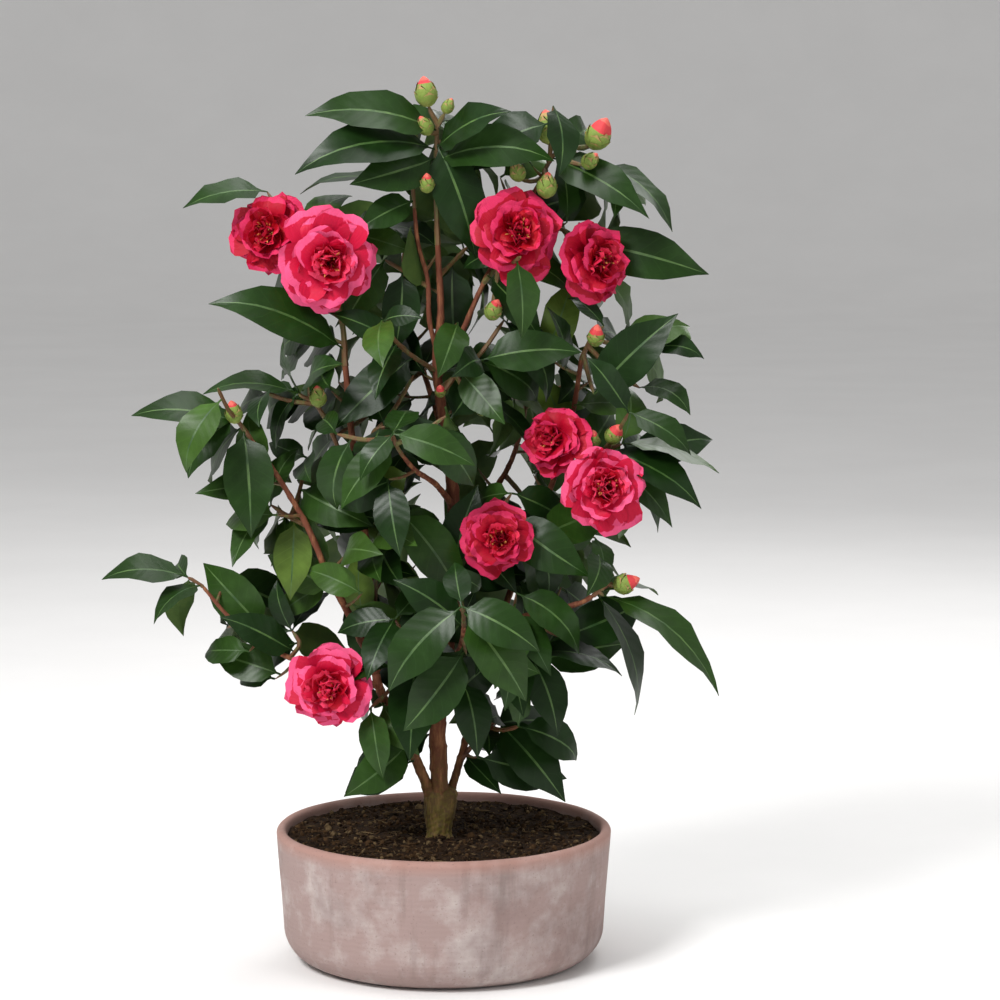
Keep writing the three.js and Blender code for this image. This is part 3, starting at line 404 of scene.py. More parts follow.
MASSES = [
    Mass("top_foliage", "centre_stem", 1, 2, [[-6, 0, 766], [-6, 0, 808], [-5, -2, 840]],
         Space([-6, 12, 800], [165, 135, 90]), [
        leaf_to(0.92, [-134, -40, 850], SLANT, 60), leaf_to(0.72, [-146, -50, 794], SLANT, 75),
        leaf_to(0.64, [-90, -40, 781], FACING, 45), leaf_to(0.8, [34, -6, 706], FACING, 50),
        leaf_to(0.62, [112, -40, 808], SLANT, 60),
        bud_at(1, [-16, -6, 871], 31, [-0.15, 0, 1], TIPPED),
        bud_at(0.97, [6, -4, 857], 17, [0.5, 0, 1]),
        bud_at(0.9, [-17, -12, 838], 22, [-0.5, -0.4, 1]),
        bud_at(0.5, [-15, -20, 782], 21, [0, -0.4, 1], TIPPED),
    ]),
    Mass("twin_foliage", "leader_twin", 1, 1, [[-29, 2, 775], [-32, 8, 796]],
         Space([-60, 30, 770], [130, 115, 75]), [
        leaf_to(0.5, [-144, 6, 776], LEVEL, 50), leaf_to(0.2, [-84, -26, 736], FACING, 50),
    ]),
    Mass("upper_left_foliage", "left_stem", 1, 2, [[-100, -8, 645], [-116, -4, 690], [-140, 4, 728]],
         Space([-122, 18, 690], [145, 120, 100]), [
        bloom_at(0.6, "left"), bloom_at(0.85, "far_left"),
        leaf_to(1, [-257, -8, 758], TILTED, 55, [-174, 12, 772]),
        leaf_to(0.12, [-230, -40, 670], SLANT, 50),
    ]),
    Mass("leader_left_foliage", "leader_twin", 0.45, 1, [[-40, 14, 694], [-58, 22, 704]],
         Space([-60, 20, 680], [100, 90, 80]), [
        leaf_to(1, [-100, 2, 638], FACING, 45), leaf_to(0.5, [-48, 10, 612], FACING, 40),
    ]),
    Mass("leader_right_foliage", "centre_stem", 0.93, 1, [[12, 22, 704], [24, 32, 716]],
         Space([30, 36, 690], [95, 90, 85]), [leaf_to(0.4, [12, 46, 612], FACING, 40)]),
    Mass("right_crown_foliage", "right_upper_bough", 1, 2, [[106, 14, 802], [118, 6, 818]],
         Space([128, 24, 780], [135, 130, 80]), [
        bud_at(0.9, [105, 4, 836], 36, [-0.2, 0, 1]), bud_at(1, [120, -6, 826], 22, [0.1, -0.5, 1]),
        bud_at(1, [155, -2, 830], 36, [0.4, -0.3, 0.8], OPENING),
        bud_at(0.75, [146, -16, 804], 22, [0.6, -0.5, 0.6]),
        bud_at(0.3, [103, -20, 780], 28, [0.1, -0.4, 1]),
        bud_at(0.1, [74, -14, 793], 22, [-0.3, -0.4, 1]),
        leaf_to(1, [229, 4, 733], [0.8, -0.4, 0.6], 60, [156, 14, 800]),
        leaf_to(0.6, [206, -30, 750], SLANT, 45),
    ]),
    Mass("right_bloom_foliage", "right_upper_bough", 0.52, 1, [[56, 6, 700], [66, 2, 714]],
         Space([70, 0, 690], [100, 100, 80]), [
        bloom_at(1, "right"), bud_at(0.5, [51, -28, 658], 24, [0.4, -0.4, 0.9], TIPPED),
    ]),
    Mass("far_right_bloom_foliage", "right_upper_bough", 0.8, 1, [[112, 28, 736], [138, 32, 722]],
         Space([160, 30, 700], [135, 120, 75]), [
        bloom_at(1, "far_right"), leaf_to(1, [265, 14, 690], FACING, 40),
    ]),
    Mass("right_shoulder_foliage", "right_stem", 1, 2, [[148, 0, 628], [160, -6, 640]],
         Space([170, 10, 610], [115, 115, 85]), [
        bud_at(0.7, [152, -20, 632], 24, [0.1, -0.4, 1], OPENING),
        leaf_to(0.1, [232, -38, 655], FACING, 25, [150, -22, 574]),
        leaf_to(0.3, [246, -14, 552], TILTED, 95, [196, 0, 578]),
    ]),
    Mass("right_foliage", "right_stem", 0.76, 2, [[128, -2, 500], [150, -16, 514], [178, -22, 524]],
         Space([165, -10, 490], [135, 115, 85]), [
        bloom_at(0.2, "side_upper"), bloom_at(0.4, "side_lower"),
        bud_at(0.7, [148, -42, 531], 22, [0, -0.5, 1], TIPPED),
        bud_at(0.85, [170, -38, 536], 24, [0.5, -0.4, 0.8], OPENING),
        leaf_to(1, [275, -14, 494], LEVEL, 50), leaf_to(0.8, [260, -46, 465], TILTED, 50),
        leaf_to(0.7, [232, -24, 442], TILTED, 40),
    ]),
    Mass("centre_upper_right_foliage", "centre_stem", 0.66, 1, [[14, -22, 592], [38, -34, 608]],
         Space([70, -30, 600], [115, 90, 65]), [
        leaf_to(1, [138, -40, 618], SLANT, 45), leaf_to(0.6, [62, -66, 548], FACING, 45),
        bud_at(0.4, [-2, -32, 578], 15, [0, -0.6, 0.8], OPENING),
        bud_at(0.5, [40, -44, 562], 18, [0.3, -0.6, 0.8], OPENING),
    ]),
    Mass("centre_upper_left_foliage", "centre_stem", 0.7, 2, [[-28, -18, 610], [-44, -26, 624]],
         Space([-64, -26, 620], [100, 100, 80]), [
        leaf_to(0.5, [-106, -48, 541], SLANT, 45), leaf_to(1, [-112, -36, 655], SLANT, 50),
    ]),
    Mass("left_shoulder_foliage", "left_stem", 0.78, 1, [[-118, -30, 554], [-142, -38, 576]],
         Space([-150, -20, 575], [110, 90, 60]), [
        leaf_to(1, [-236, -44, 578], LEVEL, 45), leaf_to(0.95, [-159, -58, 628], [-1, -0.3, 0], 25),
        bud_at(0.6, [-122, -46, 574], 23, [-0.1, -0.3, 1]),
    ]),
    Mass("left_foliage", "left_outer_bough", 1, 1, [[-198, -56, 548], [-203, -57, 553]],
         Space([-205, -40, 530], [100, 95, 60]), [
        bud_at(1, [-204, -62, 560], 24, [-0.2, -0.2, 1], TIPPED),
        leaf_to(0.5, [-304, -70, 560], TILTED, 45), leaf_to(0.3, [-186, -88, 438], FACING, 35),
    ]),
    Mass("left_inner_foliage", "left_outer_bough", 0.6, 2, [[-150, -36, 452], [-170, -30, 464]],
         Space([-142, -20, 450], [85, 95, 75]), [leaf_to(0.4, [-150, -60, 372], FACING, 40)]),
    Mass("centre_left_foliage", "left_stem", 0.74, 2, [[-70, -40, 530], [-56, -46, 544]],
         Space([-60, -30, 520], [90, 95, 75]), [
        leaf_to(1, [20, -62, 510], SLANT, 70), leaf_to(0.4, [-112, -70, 480], FACING, 45),
    ]),
    Mass("centre_foliage", "left_stem", 0.55, 2, [[-62, -40, 436], [-44, -50, 462]],
         Space([-40, -50, 440], [95, 95, 85]), [
        leaf_to(1, [25, -78, 368], SLANT, 50), leaf_to(0.3, [-24, -76, 400], SLANT, 60),
    ]),
    Mass("centre_right_foliage", "centre_stem", 0.4, 2, [[38, -34, 436], [66, -40, 452]],
         Space([88, -36, 430], [100, 100, 80]), [
        bloom_at(0.6, "middle"), leaf_to(1, [146, -70, 398], FACING, 45),
    ]),
    Mass("lower_left_tip_foliage", "lower_left_bough", 1, 0, [[-246, -46, 391], [-252, -46, 394]],
         Space([-255, -46, 385], [70, 65, 45]), [
        leaf_to(1, [-337, -60, 396], TILTED, 60), leaf_to(0.8, [-262, -10, 330], LEVEL, 55),
    ]),
    Mass("lower_left_foliage", "lower_left_bough", 0.42, 0, [[-142, -40, 326], [-150, -30, 338]],
         Space([-150, -20, 335], [100, 90, 65]), [leaf_to(0.2, [-218, -70, 360], SLANT, 40)]),
    Mass("low_left_bloom_foliage", "lower_left_bough", 0.36, 2, [[-98, -58, 290], [-106, -66, 285]],
         Space([-100, -30, 330], [90, 95, 65]), [
        bloom_at(1, "low_left"), leaf_to(0.5, [-52, -100, 316], SLANT, 45),
    ]),
    Mass("lower_centre_foliage", "centre_stem", 0.24, 2, [[-18, -40, 306], [-34, -52, 318]],
         Space([-30, -50, 290], [95, 95, 75]), [
        leaf_to(0.8, [-32, -88, 217], FACING, 35), leaf_to(0.3, [6, -84, 276], SLANT, 40),
    ]),
    Mass("lower_right_foliage", "right_low_bough", 0.42, 2, [[72, -56, 330], [88, -54, 316]],
         Space([95, -40, 300], [115, 100, 70]), [
        leaf_to(0.2, [80, -100, 264], FACING, 35), leaf_to(0.9, [180, -58, 300], LEVEL, 50),
        leaf_to(1, [114, -70, 240], SLANT, 40),
    ]),
    Mass("low_right_foliage", "right_low_bough", 1, 0, [[158, -54, 384], [166, -52, 388]],
         Space([190, -40, 360], [100, 95, 70]), [
        bud_at(1, [182, -58, 390], 28, [1, -0.1, 0.4], OPENING),
        leaf_to(0.3, [272, -70, 279], [0.5, -0.5, 0.7], 65),
        leaf_to(0.2, [216, -22, 374], LEVEL, 70),
        leaf_to(0.15, [196, -74, 260], [0.9, -0.45, 0.3], 50),
    ]),
    Mass("skirt_left_foliage", "left_stem", 0.11, 0, [[-36, -40, 224], [-42, -44, 226]],
         Space([-60, -50, 215], [75, 70, 60]), [
        leaf_to(0.6, [-98, -80, 180], FACING, 45, [-34, -44, 226]),
    ]),
    Mass("skirt_right_foliage", "right_stem", 0.13, 1, [[40, -14, 232], [56, -20, 248]],
         Space([66, -16, 222], [90, 90, 55]), [
        leaf_to(0.1, [59, -38, 174], SLANT, 40), leaf_to(0.9, [122, -44, 167], SLANT, 50),
        leaf_to(0.6, [46, -60, 218], FACING, 40),
    ]),
    Mass("back_low_foliage", "back_low_bough", 1, 3, [[-84, 150, 408], [-92, 158, 424]],
         Space([-80, 130, 390], [135, 120, 100]), []),
    Mass("back_low_right_foliage", "back_low_bough", 0.5, 3, [[-10, 92, 330], [20, 110, 312]],
         Space([30, 105, 310], [120, 115, 95]), []),
    Mass("back_right_foliage", "back_right_bough", 1, 3, [[84, 140, 548], [84, 142, 570]],
         Space([85, 125, 540], [130, 115, 100]), []),
    Mass("back_right_low_foliage", "back_right_bough", 0.6, 3, [[88, 84, 452], [110, 92, 432]],
         Space([125, 95, 420], [120, 110, 90]), []),
    Mass("back_high_foliage", "back_high_bough", 1, 3, [[-42, 106, 690], [-40, 104, 716]],
         Space([-35, 100, 690], [130, 110, 110]), []),
    Mass("back_left_foliage", "back_high_bough", 0.45, 3, [[-62, 66, 560], [-92, 76, 552]],
         Space([-105, 80, 540], [115, 110, 95]), []),
    Mass("front_low_foliage", "front_low_bough", 1, 2, [[22, -134, 370], [20, -142, 380]],
         Space([20, -125, 345], [100, 85, 70]), [
        leaf_to(1, [-52, -134, 295], SLANT, 45), leaf_to(0.7, [84, -134, 285], SLANT, 45),
    ]),
    Mass("front_mid_foliage", "front_mid_bough", 1, 2, [[-44, -112, 534], [-46, -118, 544]],
         Space([-45, -105, 510], [90, 85, 70]), [leaf_to(1, [34, -122, 514], SLANT, 55)]),
]

OPENING_REACH = 260
SHOWN_REACH = 240
SHOWN_STEP = 1.6


# The growing rule


def leaf_half_width(length: Union[float, Array], share: Array) -> Array:
    """Half a leaf's width: a sine of the share raised to the crest, widest before the middle.

    Args:
        length: of the leaf.
        share: fractions of the length.

    Returns:
        Half the width at each fraction, none at the ends.
    """
    inside = np.clip(share, 0, 1)
    swell = np.sin(math.pi * inside**LEAF.crest)
    return 0.5 * np.minimum(LEAF.aspect * length, LEAF.widest) * np.maximum(swell, 0) ** LEAF.fullness


@dataclass(frozen=True)
class LeafSizes:
    """How leaves are shaped and set along a shoot, and how far they look out, up and to the front."""

    length: Span = (78, 106)
    aspect: float = 0.46
    widest: float = 50
    crest: float = 0.86
    fullness: float = 0.85
    fold: float = math.radians(15)
    forward: Span = (0.15, 0.6)
    rise: Span = (-0.8, 0.2)
    tilt: Span = (-0.35, 0.35)
    bend: Span = (35, 75)
    stray: Span = (-0.4, 0.4)
    spacing: float = 16
    turn: float = math.radians(144)
    longest: float = 150
    clearance: float = 4.5
    tries: tuple[float, ...] = (0, 25, -25, 50, -50, 80, -80, 115, -115)
    shrinks: tuple[float, ...] = (1, 0.84)
    tested: tuple[float, ...] = (0.14, 0.25, 0.36, 0.47, 0.58, 0.69, 0.8, 0.9)
    sides: tuple[float, ...] = (-0.9, -0.45, 0, 0.45, 0.9)
    cover: float = 0.8
    outward: float = 0.35
    face_up: float = 0.7
    face_out: float = 0.8
    face_front: float = 0.8
    back_from: float = 60
    from_root: float = 0.05
    near_tip: float = 0.97


LEAF = LeafSizes()
# A leaf's samples stand in rows across it, with this many in a row.
ROW = len(LEAF.sides)


@dataclass
class Leaf:
    """A leaf whose midrib is an arc: it leaves its root along one way and turns away from its face."""

    root: Array
    along: Array
    face: Array
    length: float
    bend: float
    spray: int = 0
    across: Array = field(init=False)
    radius: float = field(init=False)
    hinge: Array = field(init=False)
    samples: Array = field(init=False)

    def __post_init__(self) -> None:
        """Works out the arc and the points that stand for the blade in every test."""
        self.across = np.cross(self.along, self.face)
        self.radius = self.length / self.bend
        self.hinge = self.root - self.radius * self.face
        share = np.append(np.repeat(LEAF.tested, len(LEAF.sides)), 1.0)
        side = np.append(np.tile(LEAF.sides, len(LEAF.tested)), 0.0) * leaf_half_width(self.length, share)
        angle = self.bend * share
        out = self.radius + np.abs(side) * math.tan(LEAF.fold)
        self.samples = (self.hinge + (out * np.sin(angle))[:, None] * self.along
                        + (out * np.cos(angle))[:, None] * self.face + side[:, None] * self.across)


def leaf_between(root: Array, tip: Array, facing: Array, bend: float) -> Leaf:
    """A leaf from its root to its tip, with its face turned as far as it goes towards a way.

    Args:
        root: where it starts.
        tip: where it ends.
        facing: the way its face looks.
        bend: the angle it turns through.

    Returns:
        The leaf, whose arc has the line from root to tip as its chord.
    """
    chord = tip - root
    reach = float(np.linalg.norm(chord))
    ahead = chord / reach
    square = square_to(facing, ahead)
    cosine, sine = math.cos(bend / 2), math.sin(bend / 2)
    return Leaf(root, ahead * cosine + square * sine, square * cosine - ahead * sine,
                reach * (bend / 2) / sine, bend)


@dataclass
class Shoot:
    """A stem or twig, with the marks along it that the tests use."""

    MARKS_A_SPAN = 4

    curve: Curve
    radii: Span
    bare: bool = False
    marks: Array = field(init=False)

    def __post_init__(self) -> None:
        """Marks the curve a few times in each span."""
        self.marks = self.curve.point(np.linspace(0, 1, self.MARKS_A_SPAN * self.curve.spans + 1))

    def segments(self) -> Array:
        """The straight pieces between marks: start, end and radius, seven numbers each.

        Returns:
            One row a piece.
        """
        count = len(self.marks) - 1
        radii = mix(self.radii[0], self.radii[1], np.arange(count) / count)
        return np.hstack([self.marks[:-1], self.marks[1:], radii[:, None]])


@dataclass
class Flower:
    """A bloom with the twig that carries it, or a bud where there is a stage."""

    middle: Array
    facing: Array
    width: float
    stage: Optional[BudStage] = None
    bright: bool = False


@dataclass
class Growth:
    """What has grown of one mass."""

    mass: Mass
    index: int
    stem: Shoot
    shoots: list[Shoot] = field(default_factory=list)
    leaves: list[Leaf] = field(default_factory=list)
    flowers: list[Flower] = field(default_factory=list)


class Blades:
    """The leaves that stand, as arrays that the tests read."""

    NAMES = ("root", "hinge", "along", "face", "across", "radius", "bend", "length", "samples")

    def __init__(self) -> None:
        """Starts with no leaf."""
        self.leaves: list[Leaf] = []
        self.arrays: dict[str, Array] = {}

    def add(self, leaf: Leaf) -> None:
        """Adds a leaf.

        Args:
            leaf: what is added.
        """
        self.leaves.append(leaf)
        for name in self.NAMES:
            row = np.array(getattr(leaf, name))[None]
            self.arrays[name] = np.concatenate([self.arrays[name], row]) if name in self.arrays else row

    def near(self, place: Array, distance: float) -> dict[str, Array]:
        """The arrays of the leaves whose roots lie within a distance of a place."""
        chosen = np.abs(self.arrays["root"] - place).max(axis=1) < distance
        return {name: values[chosen] for name, values in self.arrays.items()}


def meets(points: Array, segments: Array, clearance: float = 0) -> bool:
    """Whether any point comes nearer to any segment's skin than the clearance.

    Args:
        points: places, three numbers each.
        segments: start, end and radius, seven numbers each.
        clearance: how near is too near.

    Returns:
        True where one does.
    """
    starts, along = segments[:, :3], segments[:, 3:6] - segments[:, :3]
    offset = points[:, None] - starts
    reach = np.clip((offset * along).sum(-1) / (along**2).sum(-1), 0, 1)
    gaps = np.linalg.norm(offset - reach[..., None] * along, axis=-1) - segments[:, 6]
    return bool((gaps < clearance).any())


@dataclass(frozen=True)
class TwigSizes:
    """Twigs by the rule, and the finer ones that carry it on."""

    length: Span = (44, 72)
    radii: Span = (2.4, 2)
    sag: float = 0.06
    first: float = 0.35
    run: float = 0.6
    forward: float = 0.5
    inward: float = 0.9
    upward: float = 0.35
    stray: Span = (-0.3, 0.3)
    seed: int = 900
    gap_share: float = 0.7
    into_bloom: float = 0.12
    into_bud: float = 0.4
    fine_length: Span = (24, 46)
    fine_radii: Span = (1.7, 1.2)
    fine_spacing: float = 15
    fine_forward: Span = (0.2, 0.7)
    fine_upward: Span = (0, 0.4)
    fine_leaves: int = 4
    fine_leaf_step: float = 0.3
    fine_clearance: float = 2.6
    before_bloom: float = 0.15
    bloom_shown: float = 0.42
    flower_shown: float = 0.48
    bud_shown: float = 0.6
    bloom_depth: float = 0.28
    tip_leaves: int = 3
    tip_leaf_length: Span = (52, 84)
    fine_leaf_length: Span = (78, 106)
    fine_lowest: float = 205
    fine_seed: int = 500
    fine_leaf_seed: int = 700
    tip_leaf_seed: int = 800


TWIG = TwigSizes()


def sight_lines(shown: Sequence[tuple[Array, float]]) -> Array:
    """Lines from places towards the viewer, with a radius each, that keep the places in sight."""
    return np.array([[*place, *(place + SHOWN_REACH * SIGHT), radius] for place, radius in shown])


# A spray's number: which leaves share a tint.
MASS_STEP, SHOOT_STEP, CARRIER_STEP = 31, 7, 17
FINE_SPRAYS, TIP_SPRAYS = 1000, 2000


class Crown:
    """Grows the crown: the named reaches of every mass, then leaves by the rule, then finer twigs."""

    NEAR = 125

    def __init__(self) -> None:
        """Lays out the limbs and the lines of sight that stay open."""
        self.limbs = {limb.name: Shoot(Curve(limb.path), limb.radii) for limb in LIMBS}
        self.limb_segments = np.vstack([limb.segments() for limb in self.limbs.values()])
        self.centres = np.array([mass.space.centre for mass in MASSES], float)
        self.radii = np.array([mass.space.radii for mass in MASSES], float)
        self.box = np.array(CAD_BOX) / MM
        self.free_lines = self._free_lines()
        self.flower_lines = self._flower_lines()
        self.growths: list[Growth] = []
        self.fine: list[Growth] = []
        self.blades = Blades()
        self.clearance = LEAF.clearance
        self.inner_samples = 3 * ROW
        self.flowers: list[Flower] = []
        self.shoot_segments = np.empty((0, 7))
        self.shoot_owners = np.empty(0, int)

    @staticmethod
    def _free_lines() -> Array:
        """Lines that no leaf's outer half crosses: openings and bare stems, seen from the front.

        Returns:
            Start, end and radius of each line.
        """
        through = OPENING_REACH * SIGHT
        openings = [[*(spot[:3] - through), *(spot[:3] + through), spot[3]] for spot in np.array(OPENINGS)]
        shown = []
        for start, end, radius in SHOWN:
            start, end = np.array(start), np.array(end)
            count = math.ceil(float(np.linalg.norm(end - start)) / (SHOWN_STEP * radius))
            shown += [(mix(start, end, i / count), radius) for i in range(count + 1)]
        return np.vstack([openings, sight_lines(shown)])

    @staticmethod
    def _flower_lines() -> Array:
        """Lines that no leaf crosses: the blooms and the opening buds, seen from the front.

        Returns:
            Start, end and radius of each line.
        """
        shown = [(bloom.centre + TWIG.before_bloom * bloom.width * SIGHT, TWIG.bloom_shown * bloom.width)
                 for bloom in BLOOMS.values()]
        shown += [(np.array(reach.place), TWIG.bud_shown * reach.size)
                  for mass in MASSES for reach in mass.reaches if reach.stage is OPENING]
        return sight_lines(shown)

    def grow(self) -> None:
        """Grows every mass in turn, then fills in with finer twigs."""
        for index, mass in enumerate(MASSES):
            self.growths.append(self._grow_reaches(mass, index))
        for growth in self.growths:
            self._grow_rule_leaves(growth)
        log.info("the rule grew %d leaves", len(self.blades.leaves))
        self._grow_fine()
        log.info("with finer twigs there are %d leaves", len(self.blades.leaves))

    def _stand(self, shoot: Shoot) -> None:
        """Adds a shoot to what stands.

        Args:
            shoot: what is added.
        """
        segments = shoot.segments()
        self.shoot_segments = np.vstack([self.shoot_segments, segments])
        self.shoot_owners = np.append(self.shoot_owners, np.full(len(segments), id(shoot)))

    @staticmethod
    def _twig(shoot: Shoot, at: float, end: Array, radii: Span = TWIG.radii) -> Shoot:
        """A twig from a shoot to a point, sagging a little at its middle.

        Args:
            shoot: what carries it.
            at: fraction of the shoot.
            end: its far end.
            radii: at its ends.

        Returns:
            The twig.
        """
        start = shoot.curve.point(at)
        middle = mix(start, end, 0.5) - TWIG.sag * np.linalg.norm(end - start) * UP
        return Shoot(Curve([start, middle, end]), radii, bare=True)

    @staticmethod
    def _turned_way(shoot: Shoot, at: float, place: int, index: int, draw: SeededNumbers) -> Array:
        """A way square to a shoot, turned on from place to place by the golden angle.

        Args:
            shoot: what it leaves.
            at: fraction of the shoot.
            place: its number along the shoot.
            index: the mass's number.
            draw: its seeded numbers.

        Returns:
            The way.
        """
        along = shoot.curve.tangent(at)
        side = square_to(FRONT, along)
        angle = place * GOLDEN_TURN + index + draw.between(*TWIG.stray)
        return side * math.cos(angle) + np.cross(along, side) * math.sin(angle)

    def _keep(self, growth: Growth, leaf: Optional[Leaf], spray: int) -> bool:
        """Keeps a leaf that found room, as one of a spray, and says whether it did.

        Args:
            growth: where it is kept.
            leaf: what was found, if anything.
            spray: its spray's number.

        Returns:
            True where it is kept.
        """
        if not leaf:
            return False
        leaf.spray = spray
        growth.leaves.append(leaf)
        self.blades.add(leaf)
        return True

    def _grow_reaches(self, mass: Mass, index: int) -> Growth:
        """The stem, the side twigs and the named reaches of one mass.

        Args:
            mass: the plan of it.
            index: its number.

        Returns:
            What has grown.
        """
        limb = self.limbs[mass.limb]
        at_tip = mass.at == 1
        start = limb.curve.point(0.99 if at_tip else mass.at)
        radius = limb.radii[1] - 0.1 if at_tip else TWIG.radii[0]
        stem = Shoot(Curve([start, *mass.stem]), (radius, TWIG.radii[1] + 0.1))
        growth = Growth(mass, index, stem, [stem, *self._side_twigs(mass, index, stem)])
        for reach in mass.reaches:
            self._grow_reach(growth, reach)
        for shoot in growth.shoots:
            self._stand(shoot)
        for leaf in growth.leaves:
            self.blades.add(leaf)
        self.flowers += growth.flowers
        return growth

    def _side_twigs(self, mass: Mass, index: int, stem: Shoot) -> list[Shoot]:
        """Side twigs, which lean forward, up and towards the middle of the space.

        Args:
            mass: the plan of it.
            index: its number.
            stem: what they leave.

        Returns:
            The twigs.
        """
        twigs = []
        for i in range(mass.twigs):
            draw = SeededNumbers(index, TWIG.seed + i)
            at = TWIG.first + TWIG.run * (i + 0.5) / mass.twigs
            start = stem.curve.point(at)
            way = unit(self._turned_way(stem, at, i, index, draw) + TWIG.forward * stem.curve.tangent(at)
                       + TWIG.inward * unit(mass.space.centre - start) + TWIG.upward * UP)
            twig = self._twig(stem, at, start + way * draw.between(*TWIG.length))
            twig.bare = False
            twigs.append(twig)
        return twigs

    def _grow_reach(self, growth: Growth, reach: Reach) -> None:
        """Grows what one reach names, with the twig that carries it.

        Args:
            growth: what has grown of the mass.
            reach: what is named.
        """
        start = growth.stem.curve.point(reach.at)
        if reach.kind is Grows.LEAF:
            tip = np.array(reach.place, float)
            share = 1 - LEAF.longest / float(np.linalg.norm(tip - start))
            root = np.array(reach.root, float) if reach.root else mix(start, tip, max(share, 0))
            if reach.root or share > 0:
                growth.shoots.append(self._twig(growth.stem, reach.at, root))
            leaf = leaf_between(root, tip, unit(np.array(reach.facing, float)), math.radians(reach.bend))
            leaf.spray = MASS_STEP * growth.index + len(growth.leaves)
            growth.leaves.append(leaf)
            return
        if reach.kind is Grows.BLOOM:
            bloom = BLOOMS[reach.place]
            shape = bloom.centre, bloom.facing, bloom.width, None, bloom.bright
        else:
            shape = reach.place, reach.facing, reach.size, reach.stage
        middle, facing = (np.array(way, float) for way in shape[:2])
        flower = Flower(middle, unit(facing), *shape[2:])
        depth = TWIG.into_bud if flower.stage else TWIG.into_bloom
        end = flower.middle - depth * flower.width * flower.facing
        growth.shoots.append(self._twig(growth.stem, reach.at, end))
        growth.flowers.append(flower)

    def _rule_leaf(self, shoot: Shoot, at: float, place: int, draw: dict[str, float], turn: float,
                   shrink: float) -> Leaf:
        """A leaf by the rule: outward and a little up from its shoot, bending over.

        Args:
            shoot: what it grows on.
            at: fraction of the shoot.
            place: its number along the shoot, which turns it.
            draw: its seeded numbers.
            turn: more turn round the shoot.
            shrink: share of its drawn length.

        Returns:
            The leaf.
        """
        root, along = shoot.curve.point(at), shoot.curve.tangent(at)
        side = beside(along)
        across = np.cross(along, side)
        angle = place * LEAF.turn + turn
        outward = unit(root * [1, 1, 0])
        direction = unit(side * math.cos(angle) + across * math.sin(angle) + draw["forward"] * along
                         + LEAF.outward * outward + draw["rise"] * UP)
        front = (LEAF.face_front if root[1] < LEAF.back_from else 0) * FRONT
        face = square_to(LEAF.face_up * UP + LEAF.face_out * outward + front + draw["tilt"] * across,
                         direction)
        return Leaf(root, direction, face, draw["length"] * shrink, math.radians(draw["bend"]))

    @staticmethod
    def _draw(numbers: SeededNumbers, lengths: Span) -> dict[str, float]:
        """The seeded numbers of one leaf, in the rule's order.

        Args:
            numbers: where they come from.
            lengths: the leaf's shortest and longest.

        Returns:
            The numbers by name.
        """
        ranges = {"forward": LEAF.forward, "rise": LEAF.rise, "tilt": LEAF.tilt, "length": lengths,
                  "bend": LEAF.bend, "turn": LEAF.stray}
        return {name: numbers.between(*span) for name, span in ranges.items()}

    def _grow_rule_leaves(self, growth: Growth) -> None:
        """Leaves along the stem and side twigs of a mass. A side twig that gets none is left out.

        Args:
            growth: what has grown of the mass.
        """
        leafy = [shoot for shoot in growth.shoots if not shoot.bare]
        for number, shoot in enumerate(leafy):
            length, before = shoot.curve.length(), len(growth.leaves)
            for i in range(max(2, int(LEAF.cover * length / LEAF.spacing))):
                draw = self._draw(SeededNumbers(growth.index, number, i), LEAF.length)
                at = 1 - i * LEAF.spacing / length
                leaf = self._first_free(shoot, at, i, draw, growth.mass.space.holds)
                self._keep(growth, leaf, MASS_STEP * growth.index + SHOOT_STEP * number)
            if len(growth.leaves) == before and shoot is not growth.stem:
                growth.shoots = [kept for kept in growth.shoots if kept is not shoot]

    def _first_free(self, shoot: Shoot, at: float, place: int, draw: dict[str, float],
                    holds: Test) -> Optional[Leaf]:
        """The first of a leaf's tries, turned round its shoot and then smaller, that finds room.

        Args:
            shoot: what it grows on.
            at: fraction of the shoot.
            place: its number along the shoot.
            draw: its seeded numbers.
            holds: tells which points lie in its space.

        Returns:
            The leaf, if any try finds room.
        """
        for shrink in LEAF.shrinks:
            for degrees in LEAF.tries:
                turn = draw["turn"] + math.radians(degrees)
                leaf = self._rule_leaf(shoot, at, place, draw, turn, shrink)
                outer = leaf.samples[self.inner_samples:]
                if not holds(outer).all() or meets(outer, self.free_lines):
                    continue
                if not meets(leaf.samples[ROW:], self.flower_lines) and self._is_free(leaf, shoot):
                    return leaf
        return None

    def _near(self, segments: Array, leaf: Leaf) -> Array:
        """The segments that start close enough to matter to a leaf."""
        return segments[np.linalg.norm(segments[:, :3] - leaf.root, axis=1) < self.NEAR]

    def _is_free(self, leaf: Leaf, own: Shoot) -> bool:
        """Whether a leaf is clear of the bowl, the limbs, other shoots, flowers and leaves.

        Args:
            leaf: the leaf.
            own: the shoot that carries it.

        Returns:
            True where it is.
        """
        samples, outer = leaf.samples, leaf.samples[ROW:]
        if samples[:, 2].min() < BOWL_HEIGHT + BOWL_CLEARANCE:
            return False
        if meets(samples, self._near(self.limb_segments, leaf), self.clearance):
            return False
        others = self._near(self.shoot_segments[self.shoot_owners != id(own)], leaf)
        gap = TWIG.gap_share * self.clearance
        if meets(outer, others, gap) or meets(outer[ROW:], own.segments(), gap):
            return False
        return not self._meets_flower(outer) and not self._meets_leaf(leaf)

